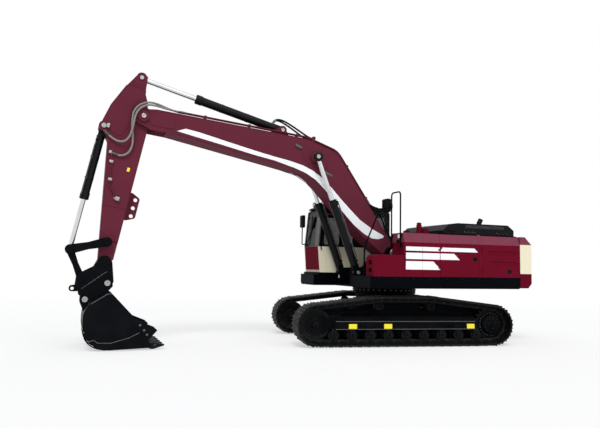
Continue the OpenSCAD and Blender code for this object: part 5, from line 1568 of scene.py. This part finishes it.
@dataclass
class Boom(Assembly):
    """The boom with its stripe, welds, pipes and pin ends. Places are in the boom's frame."""

    half: float = 0.28
    length: float = 6.51
    # Slopes of the pipes before and behind the knee, in degrees
    climb: float = 30.43
    fall: float = -19.49
    upper: Outline = (
        (5.77, 0.065), (5.628, 0.205), (5.328, 0.285), (4.7, 0.412), (4.076, 0.543), (3.606, 0.651),
        (3.25, 0.742), (2.927, 0.803), (2.64, 0.812), (2.356, 0.765), (2.05, 0.668), (1.779, 0.562),
        (1.4, 0.43), (1.095, 0.334), (0.72, 0.286), (0.362, 0.28))
    lower: Outline = (
        (0.366, 0.224), (0.48, 0.135), (0.625, 0.081), (0.86, 0.088), (1.151, 0.146), (1.5, 0.266),
        (1.842, 0.396), (2.18, 0.548), (2.497, 0.653), (2.78, 0.678), (3.072, 0.653), (3.573, 0.57),
        (4.032, 0.454), (4.9, 0.262))
    top_seam: Outline = (
        (0.1, 0.198), (2.17, 1.413), (2.29, 1.463), (2.42, 1.471), (3.0, 1.412), (3.16, 1.376), (6.25, 0.28))
    bottom_seam: Outline = (
        (5.83, -0.016), (3.25, 0.592), (2.85, 0.667), (2.55, 0.647), (2.3, 0.572), (1.06, 0.095),
        (0.8, 0.017), (0.14, -0.136))
    # Place along the chord and radius of the bosses with a weld
    bosses: Outline = ((0.0, 0.188), (6.51, 0.15))
    doublers: Sequence[Corners] = (
        ((5.83, 0.06, 0.05), (6.31, -0.1, 0.08), (6.47, 0.1, 0.1), (6.33, 0.205, 0.08), (5.95, 0.345, 0.08)),
        ((2.34, 1.02, 0.1), (2.6, 0.9, 0.1), (2.86, 0.9, 0.1), (3.12, 1.06, 0.1), (2.92, 1.33, 0.1),
         (2.5, 1.34, 0.1)))
    climb_clamps: Outline = ((1.181, 0.8485), (1.948, 1.2993))
    fall_clamps: Outline = ((3.316, 1.3366), (4.4, 0.953), (5.348, 0.6175))

    def build(self) -> None:
        """Dress the nodes and add stripe, welds, clamps and pin ends."""
        self.dress({PAINTED_SHEEN_BURGUNDY: ("boom", "boom_pipes")})
        self.plates()
        self.pins()
        self.pipework()

    def plates(self) -> None:
        """Stripe, weld beads along the plates and round the bosses, and doublers."""
        stripe, welds, plates = Shape.several(3, self.machine.boom)
        for side in SIDES:
            stripe.side(self.upper + self.lower, side * self.half, side * FILM, FILM_EDGE)
            y = side * (self.half + CLEAR)
            for line in (self.top_seam, self.bottom_seam):
                welds.bead([(x, y, z) for x, z in line], 0.007)
            for x, r in self.bosses:
                welds.ring_bead(x, y, r, 0.007)
            for outline in self.doublers:
                plates.side(rounded(outline), side * self.half, side * 0.01, 0.004)
        stripe.build("boom_stripe", "boom", WHITE)
        welds.build("boom_welds", "boom", PAINTED_SHEEN_BURGUNDY)
        plates.build("boom_doublers", "boom", PAINTED_SHEEN_BURGUNDY)

    def pins(self) -> None:
        """Pin ends at the tip and the arm cylinder, grease nipples and a bracket."""
        caps, nipples = Shape.several(2, self.machine.boom)
        for side in SIDES:
            caps.pin_cap((self.length, side * 0.321, 0), Y * side, 0.05, 3)
            caps.pin_cap((3.674, side * 0.1155, 1.359), Y * side, 0.042, 2)
        caps.build("boom_pin_caps", "boom", PIN)
        for k in range(6):
            nipples.lathe((2.2 + k * 0.035, self.half, 0.93), Y, [(0, 0.012), (0.01, 0.012), (0.012, 0.007),
                                                                 (0.022, 0.006)], 10)
        nipples.side(rectangle(2.17, 0.905, 2.41, 0.955, 0.01), self.half, 0.004, 0.002)
        face = self.half + 0.035
        nipples.box((3.13, self.half, 1.11), (3.3, face, 1.175), 0.006)
        for x in (3.17, 3.26):
            nipples.bolt((x, face, 1.142), Y, 0.012)
        nipples.build("boom_fittings", "boom", GREY)

    def pipework(self) -> None:
        """Clamp bolts and couplings on the pipes."""
        bolts = Shape(self.machine.boom)
        for places, degrees in ((self.climb_clamps, self.climb), (self.fall_clamps, self.fall)):
            up = slope(degrees)[1]
            for x, z in places:
                for side in SIDES:
                    for y in (0.165, 0.206):
                        bolts.bolt(Vector((x, side * y, z)) + up * 0.0905, up, 0.01)
        ends = (((5.842, 0.5105), -slope(self.fall)[0]), ((1.0622, 0.853), slope(self.climb)[0]))
        for side in SIDES:
            for y, nut in ((0.14, 0.0215), (0.19, 0.026)):
                profile = [(0, nut), (0.035, nut), (0.036, 0.021), (0.07, 0.021)]
                for (x, z), along in ends:
                    bolts.lathe((x, side * y, z), along, profile, 6)
        bolts.build("pipe_clamp_bolts", "boom", BOLT)


@dataclass
class Arm(Assembly):
    """The arm with its seams, pipe, valve and pin ends. Places are in the arm's frame."""

    half: float = 0.2
    length: float = 3.155
    line_y: float = 0.23
    clamp_face: float = 0.252
    seams: Sequence[Outline] = (
        ((0.26, -0.135), (2.66, -0.135)), ((0.72, 0.53), (2.66, 0.214)), ((2.008, 0.29), (1.985, -0.13)),
        ((-0.55, 0.476), (-0.06, 0.672), (0.31, 0.75)),
        ((-0.55, 0.094), (-0.48, 0.088), (-0.33, 0.005), (-0.19, -0.04)))
    gusset: Corners = ((-0.36, 0.16, 0.06), (-0.13, 0.26, 0.1), (0.25, 0.24, 0.1), (0.55, 0.34, 0.08),
                                  (0.46, 0.6, 0.08), (0.1, 0.57, 0.1), (-0.45, 0.4, 0.08))

    def build(self) -> None:
        """Dress the node and add seams, pipe, valve and pin ends."""
        self.dress({PAINTED_SHEEN_BURGUNDY: ("arm",)})
        self.plates()
        self.line()
        caps, dark = Shape.several(2, self.machine.arm)
        for side in SIDES:
            out = Y * side
            caps.disc((-0.841, side * 0.1145, 0.227), out, 0.042, 0.0022, 32)
            caps.pin_cap((0.414, side * 0.212, 0.71), out, 0.05, 2)
            dark.pin_cap((self.length - 0.432, side * 0.31, 0.062), out, 0.084, 2)
        caps.build("arm_pin_caps", "arm", PIN)
        dark.build("link_foot_caps", "arm", TOOL_BLACK)

    def plates(self) -> None:
        """Weld seams and gussets on the arm's sides."""
        welds, plates = Shape.several(2, self.machine.arm)
        for side in SIDES:
            y = side * (self.half + CLEAR)
            for line in self.seams:
                welds.bead([(x, y, z) for x, z in line], 0.006)
            plates.side(rounded(self.gusset), side * self.half, side * 0.008, 0.003)
            welds.ring_bead(0.0, y, 0.185, 0.006)
            welds.bead([(x, side * 0.021, -0.152) for x in (2.15, 1.62)], 0.007)
        welds.build("arm_welds", "arm", PAINTED_SHEEN_BURGUNDY)
        plates.build("arm_gussets", "arm", PAINTED_SHEEN_BURGUNDY)

    def line(self) -> None:
        """A steel line with clamps, a shut-off valve, hose unions and a blank plate."""
        pipe, clamps, plate = Shape.several(3, self.machine.arm)
        y, face, valve = self.line_y, self.clamp_face, self.line_y + 0.03
        pipe.pipe([(0.918, y, 0.445), (0.93, y, 0.42), (1.6, y, 0.296), (1.8, y, 0.13), (1.8, y, 0.1)], 0.013,
                  0.02, 12)
        clamps.box((0.885, self.half, 0.425), (0.945, face, 0.485), 0.008)
        for x, z in ((1.102, 0.388), (1.466, 0.321)):
            clamps.box((x - 0.028, self.half, z - 0.04), (x + 0.028, face, z + 0.04), 0.006)
            for dz in (-0.026, 0.026):
                clamps.bolt((x, face, z + dz), Y, 0.009)
        clamps.box((1.78, self.half, 0.04), (1.86, valve, 0.13), 0.008)
        clamps.collar((1.82, valve, 0.085), Y, 0.026, 0.02, 6)
        clamps.collar((1.82, y, 0.13), Z, 0.02, 0.03, 6)
        clamps.box((0.35, self.half, 0.595), (0.44, face, 0.66), 0.008)
        plate.side(rectangle(1.13, -0.01, 1.215, 0.045, 0.008), self.half, 0.003, 0.001)
        pipe.build("arm_line", "arm", PAINTED_SHEEN_BURGUNDY)
        clamps.build("arm_line_clamps", "arm", PIN)
        plate.build("arm_plate", "arm", YELLOW)


@dataclass
class Cylinder:
    """One hydraulic cylinder: gland, ports, line and bands on its barrel."""

    name: str
    body: str
    base: Vector
    eye: Vector
    radius: float
    rod: float
    # How far the rod stands out, and where the barrel begins
    out: float
    neck: float
    across: float = 0.0
    side: int = NEAR
    # Turn of the ports from level
    turn: float = math.radians(38)

    def build(self) -> None:
        """Add gland bolts, port blocks, the barrel's line and bands, and a wiper ring."""
        gland, line = Shape.several(2, chord(self.base, self.eye, self.across))
        away = Vector((0, self.side * math.cos(self.turn), math.sin(self.turn)))
        end = (self.eye - self.base).length - self.out
        r, rod, rear, port = self.radius, self.rod, self.neck, end - 0.065
        gland.bolt_ring((end, 0, 0), X, (r + 0.012 + rod) / 2, 10, 0.012)
        gland.lathe((end, 0, 0), X, [(0, rod + 0.016), (0.012, rod + 0.014), (0.016, rod + 0.002)], 32)
        gland.lathe((end - 0.142, 0, 0), X, [(0, r + 0.003), (0.01, r + 0.009)], 40)
        gland.lathe((rear + 0.002, 0, 0), X, [(0, r + 0.002), (0.02, r + 0.006), (0.04, r + 0.001)], 40)
        for x, reach in ((rear + 0.1, r - 0.012), (port, r)):
            gland.lathe(X * x + away * reach, away, [(0, 0.03), (0.035, 0.03), (0.04, 0.026)])
        height = r + 0.038
        path = ((port, r + 0.03), (port, height), (end - 0.14, height), (rear + 0.22, height),
                (rear + 0.16, height - 0.012))
        line.pipe([X * x + away * reach for x, reach in path], 0.013, 0.02, 10)
        for share in (0.35, 0.68):
            x = rear + (end - rear) * share
            gland.collar((x - 0.018, 0, 0), X, r + 0.003, 0.036, 40)
            line.lathe(X * x + away * (r - 0.004), away, [(0, 0.024), (0.052, 0.024), (0.056, 0.02)], 6)
        gland.build(f"{self.name}_gland", self.body, BARREL)
        line.build(f"{self.name}_line", self.body, GREY)


@dataclass
class Hydraulics(Assembly):
    """The four cylinders, with the rod eyes of lift and crowd in the frames of boom and arm."""

    lift_eye: Point = (2.734, 0, 1.109)
    crowd_eye: Point = (-0.841, 0, 0.227)
    lift_y: float = 0.42
    cover: Outline = ((0, 0.112), (0.012, 0.112), (0.016, 0.106), (0.016, 0.02))

    def build(self) -> None:
        """Dress the cylinders and add their fittings."""
        self.dress({
            BARREL: ("boom_barrels", "arm_barrel", "bucket_barrel"),
            CHROME: ("boom_rods", "arm_rod", "bucket_rod")})
        pins = self.machine.pins
        lift = self.machine.boom @ Vector(self.lift_eye)
        crowd = self.machine.arm @ Vector(self.crowd_eye)
        near = Cylinder("lift_near", "boom_barrels", pins["boom_barrel_turn"], lift, radius=0.088, rod=0.052,
                        out=1.058, neck=0.175, across=self.lift_y)
        far = replace(near, name="lift_far", across=-self.lift_y)
        middle = Cylinder("crowd", "arm_barrel", pins["arm_barrel_turn"], crowd, radius=0.095, rod=0.058,
                          out=1.226, neck=0.185, side=FAR)
        last = Cylinder("curl", "bucket_barrel", pins["bucket_barrel_turn"], CURL_EYE, radius=0.082,
                        rod=0.048, out=1.062, neck=0.195)
        for cylinder in (near, far, middle, last):
            cylinder.build()
        eyes, covers = Shape.several(2)
        for side in SIDES:
            out = Y * side
            covers.lathe(lift + out * 0.4655, out, self.cover, 40)
            eyes.pin_cap(lift + out * 0.4815, out, 0.046, 4)
        eyes.build("lift_rod_caps", "boom_rods", PIN)
        covers.build("lift_rod_covers", "boom_rods", BARREL)


@dataclass
class Tool(Assembly):
    """Linkage, coupler and bucket. Places on coupler and bucket are from the nose pin and the first ear."""

    bucket_half: float = 0.74
    ears: tuple[Point, Point] = ((-0.068, 0, -0.396), (0.344, 0, -0.718))
    # Place and radius of the coupler's pins and of its bolts
    coupler_pins: Sequence[tuple[Point, float]] = (((0, 0, 0), 0.066), ((0.426, 0, -0.321), 0.06))
    coupler_bolts: Corners = ((0.16, -0.5, 0.016), (0.24, -0.4, 0.016), (0.2, -0.13, 0.014))
    outline: Corners = (
        (-0.04, -0.15, 0), (-0.56, -0.7, 0), (-0.85, -1.19, 0), (-0.83, -1.245, 0), (0.48, -1.29, 0.52),
        (0.44, -0.56, 0.25), (0.33, -0.37, 0.12))
    strap: Corners = (
        (0.33, -1.1, 0.02), (0.23, -1.07, 0.02), (0.155, -1.125, 0.03), (-0.08, -1.135, 0.1),
        (-0.41, -1.045, 0.1), (-0.62, -0.945, 0.02))
    rim: Outline = ((-0.06, -0.185), (0.02, -0.2), (0.31, -0.385))
    wear_y: tuple[float, ...] = (-0.62, -0.31, 0.0, 0.31, 0.62)
    lip: Outline = (
        (-0.9, -1.236), (-0.85, -1.205), (-0.8, -1.205), (-0.8, -1.2455), (-0.85, -1.2455))
    tooth_n: int = 5
    tooth_half: float = 0.048
    cutter_bolts: Outline = ((-0.62, -0.8), (-0.7, -0.9), (-0.76, -0.985))

    def build(self) -> None:
        """Dress the nodes and add pin ends, wear plates, bolts and welds."""
        self.dress({TOOL_BLACK: ("coupler", "bucket", "tipping_links", "h_link"), TEETH: ("bucket_teeth",)})
        self.linkage()
        self.wear()
        self.teeth()

    def frame(self) -> Matrix:
        """Frame of the bucket, at its first ear."""
        return Matrix.Translation(self.machine.pins["bucket_curl"] + Vector(self.ears[0]))

    def linkage(self) -> None:
        """Pin ends on links, coupler and bucket ears."""
        nose = self.machine.pins["bucket_curl"]
        caps, dark, links, bolts, edge = Shape.several(5)
        for side in SIDES:
            out = Y * side
            for spot, r in self.coupler_pins:
                dark.pin_cap(nose + Vector(spot) + out * 0.2475, out, r, 2)
            for spot in self.ears:
                caps.pin_cap(nose + Vector(spot) + out * 0.305, out, 0.058, 2)
            links.pin_cap(CURL_EYE + out * 0.315, out, 0.06, 2)
            for x, z, r in self.coupler_bolts:
                bolts.bolt(nose + Vector((x, side * 0.235, z)), out, r)
            # A light bead along the plate's edge: a painted highlight
            ends = ((-0.05, -0.165), (0.42, -0.51))
            edge.bead([nose + Vector((x, side * 0.2355, z)) for x, z in ends], 0.005, 0.03)
        caps.build("tool_pin_caps", "bucket", PIN)
        dark.build("coupler_pin_caps", "bucket", TOOL_BLACK)
        links.build("link_pin_caps", "tipping_links", TOOL_BLACK)
        bolts.build("coupler_bolts", "bucket", BLACK_BOLT)
        edge.build("coupler_edge_highlight", "bucket", GREY)

    def wear(self) -> None:
        """Wear straps under the floor and round the heel, welds along the sheets, and light beads along the
        top edges as painted highlights.
        """
        straps, welds, edges = Shape.several(3, self.frame())
        line = [Vector((x, 0, z)) for x, z in rounded(self.outline, 8)]
        under = [p for p in line if p.z < -0.9 and p.x > -0.75]
        ahead = [b - a for a, b in zip(under[:1] + under, under[1:] + under[-1:])]
        normals = [Vector((d.z, 0, -d.x)).normalized() for d in ahead]
        for y in self.wear_y:
            section = ((-0.05, 0.0), (-0.046, 0.012), (0.046, 0.012), (0.05, 0.0))
            straps.skin([[p + n * rise + Y * (y + dy) for dy, rise in section]
                         for p, n in zip(under, normals)])
        for side in SIDES:
            y = side * (self.bucket_half + CLEAR)
            path = [p for p in line if not (p.x < -0.7 and p.z < -1.0)]
            welds.bead([(p.x * 0.985, y, p.z + (0.008 if p.z < -0.8 else -0.008)) for p in path], 0.006, 0.03)
            plate = rounded([(-0.7, -1.225, 0.02), (0.16, -1.25, 0.05), *self.strap, (-0.66, -1.12, 0.02)])
            straps.side(plate, side * self.bucket_half, side * 0.01, 0.004)
            # Light beads along the rim and the wear plate's top edge: painted highlights
            for edge in (self.rim, [corner[:2] for corner in self.strap]):
                edges.bead([(x, y + side * 0.0095, z) for x, z in edge], 0.007, 0.03)
        straps.build("wear_plates", "bucket", TOOL_BLACK)
        welds.build("bucket_welds", "bucket", TOOL_BLACK)
        edges.build("bucket_edge_highlights", "bucket", GREY)

    def teeth(self) -> None:
        """Tooth pins, side cutter bolts and a lip between the teeth."""
        bolts, lips = Shape.several(2, self.frame())
        reach = self.bucket_half - 0.028 - self.tooth_half - 0.01
        middles = [(2 * k / (self.tooth_n - 1) - 1) * reach for k in range(self.tooth_n)]
        for y in middles:
            for s in SIDES:
                bolts.disc((-0.93, y + s * self.tooth_half, -1.19), Y * s, 0.016, 0.006, 14)
        for low, high in zip(middles, middles[1:]):
            lips.side(self.lip, low + 0.07, high - low - 0.14, 0.006)
        for side in SIDES:
            for x, z in self.cutter_bolts:
                bolts.bolt((x, side * (self.bucket_half + 0.022), z), Y * side, 0.018)
        bolts.build("tool_bolts", "bucket", BOLT)
        lips.build("lip_shrouds", "bucket", TEETH)


@dataclass
class Studio:
    """Camera, floor, lights and background."""

    spot: Point = (7.19876, 13.07191, 1.69682)
    yaw: float = -0.364013
    pitch: float = 0.086266
    roll: float = -0.018305
    focal_px: float = 604.084
    width_px: int = 600
    sensor: float = 36.0
    floor_half: float = 120.0
    # Name, turn in degrees, strength and apparent size in degrees of the suns
    suns: Sequence[tuple[str, Point, float, float]] = (
        ("key", (38, 0, 154), 1.7, 22), ("fill", (58, 0, 205), 0.5, 40))

    def camera(self) -> None:
        """Place the camera as the photograph was taken."""
        ahead, right, up = -Y, -X, Z
        turn = Matrix.Rotation(self.yaw, 3, up)
        ahead, right = turn @ ahead, turn @ right
        turn = Matrix.Rotation(self.pitch, 3, right)
        ahead, up = turn @ ahead, turn @ up
        turn = Matrix.Rotation(self.roll, 3, ahead)
        right, up = turn @ right, turn @ up
        data = bpy.data.cameras.new("camera")
        data.sensor_fit, data.sensor_width = "HORIZONTAL", self.sensor
        data.lens = self.sensor * self.focal_px / self.width_px
        data.clip_end = 400.0
        holder = bpy.data.objects.new("camera", data)
        turned = Matrix((right, up, -ahead)).transposed().to_4x4()
        holder.matrix_world = Matrix.Translation(self.spot) @ turned
        bpy.context.scene.collection.objects.link(holder)
        bpy.context.scene.camera = holder

    def floor(self) -> None:
        """A pale floor that keeps the shadow and fades to white far away."""
        graph = Graph(bpy.data.materials.new("pale_floor"))
        reach = graph.node("ShaderNodeVectorMath", {"operation": "LENGTH"}, {0: graph.place()}, "Value")
        far = reach.ramp(9.0, 24.0)
        seen = graph.node("ShaderNodeLightPath", output="Is Camera Ray")
        matt = graph.node("ShaderNodeBsdfDiffuse", None, {"Color": (0.86, 0.86, 0.86)})
        glow = graph.node("ShaderNodeEmission", None, {"Color": (1, 1, 1), "Strength": 1.0})
        mixed = graph.node("ShaderNodeMixShader", None, {0: (0.52 + far * 0.48) * seen, 1: matt, 2: glow})
        graph.node("ShaderNodeOutputMaterial", None, {"Surface": mixed})
        data = bpy.data.meshes.new("floor")
        low, high = -self.floor_half, self.floor_half
        data.from_pydata([(low, low, 0), (high, low, 0), (high, high, 0), (low, high, 0)], [], [(0, 1, 2, 3)])
        data.materials.append(graph.owner)
        plane = bpy.data.objects.new("floor", data)
        bpy.context.scene.collection.objects.link(plane)

    def light(self) -> None:
        """A broad soft key, a fill and white surroundings."""
        scene = bpy.context.scene
        for name, turn, strength, size in self.suns:
            data = bpy.data.lights.new(name, "SUN")
            data.energy, data.angle = strength, math.radians(size)
            lamp = bpy.data.objects.new(name, data)
            lamp.rotation_euler = [math.radians(v) for v in turn]
            scene.collection.objects.link(lamp)
        graph = Graph(bpy.data.worlds.new("studio"))
        seen, shiny, through = (graph.node("ShaderNodeLightPath", output=f"Is {kind} Ray")
                                for kind in ("Camera", "Glossy", "Transmission"))
        soft = graph.node("ShaderNodeBackground", None, {"Color": (0.95, 0.97, 1.0), "Strength": 0.62})
        white = graph.node("ShaderNodeBackground", None, {"Color": (1, 1, 1), "Strength": 1.0})
        shown = seen.most(shiny).most(through)
        mixed = graph.node("ShaderNodeMixShader", None, {0: shown, 1: soft, 2: white})
        graph.node("ShaderNodeOutputWorld", None, {"Surface": mixed})
        scene.world = graph.owner
        scene.view_settings.view_transform = "Standard"

    def build(self) -> None:
        """Set up camera, floor and light."""
        for step in (self.camera, self.floor, self.light):
            step()


def corners(box: Iterable[Point]) -> list[list[float]]:
    """A box as plain lists."""
    return [[float(v) for v in corner] for corner in box]


def main() -> None:
    """Build the scene in order."""
    logging.basicConfig(level=logging.INFO, format="%(message)s")
    machine = Machine.load()
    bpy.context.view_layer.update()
    Studio().build()
    for assembly in (Hoses, Undercarriage, House, Cab, Boom, Arm, Hydraulics, Tool):
        LOG.info("building %s", assembly.__name__)
        assembly(machine).build()


if __name__ == "__main__":
    main()
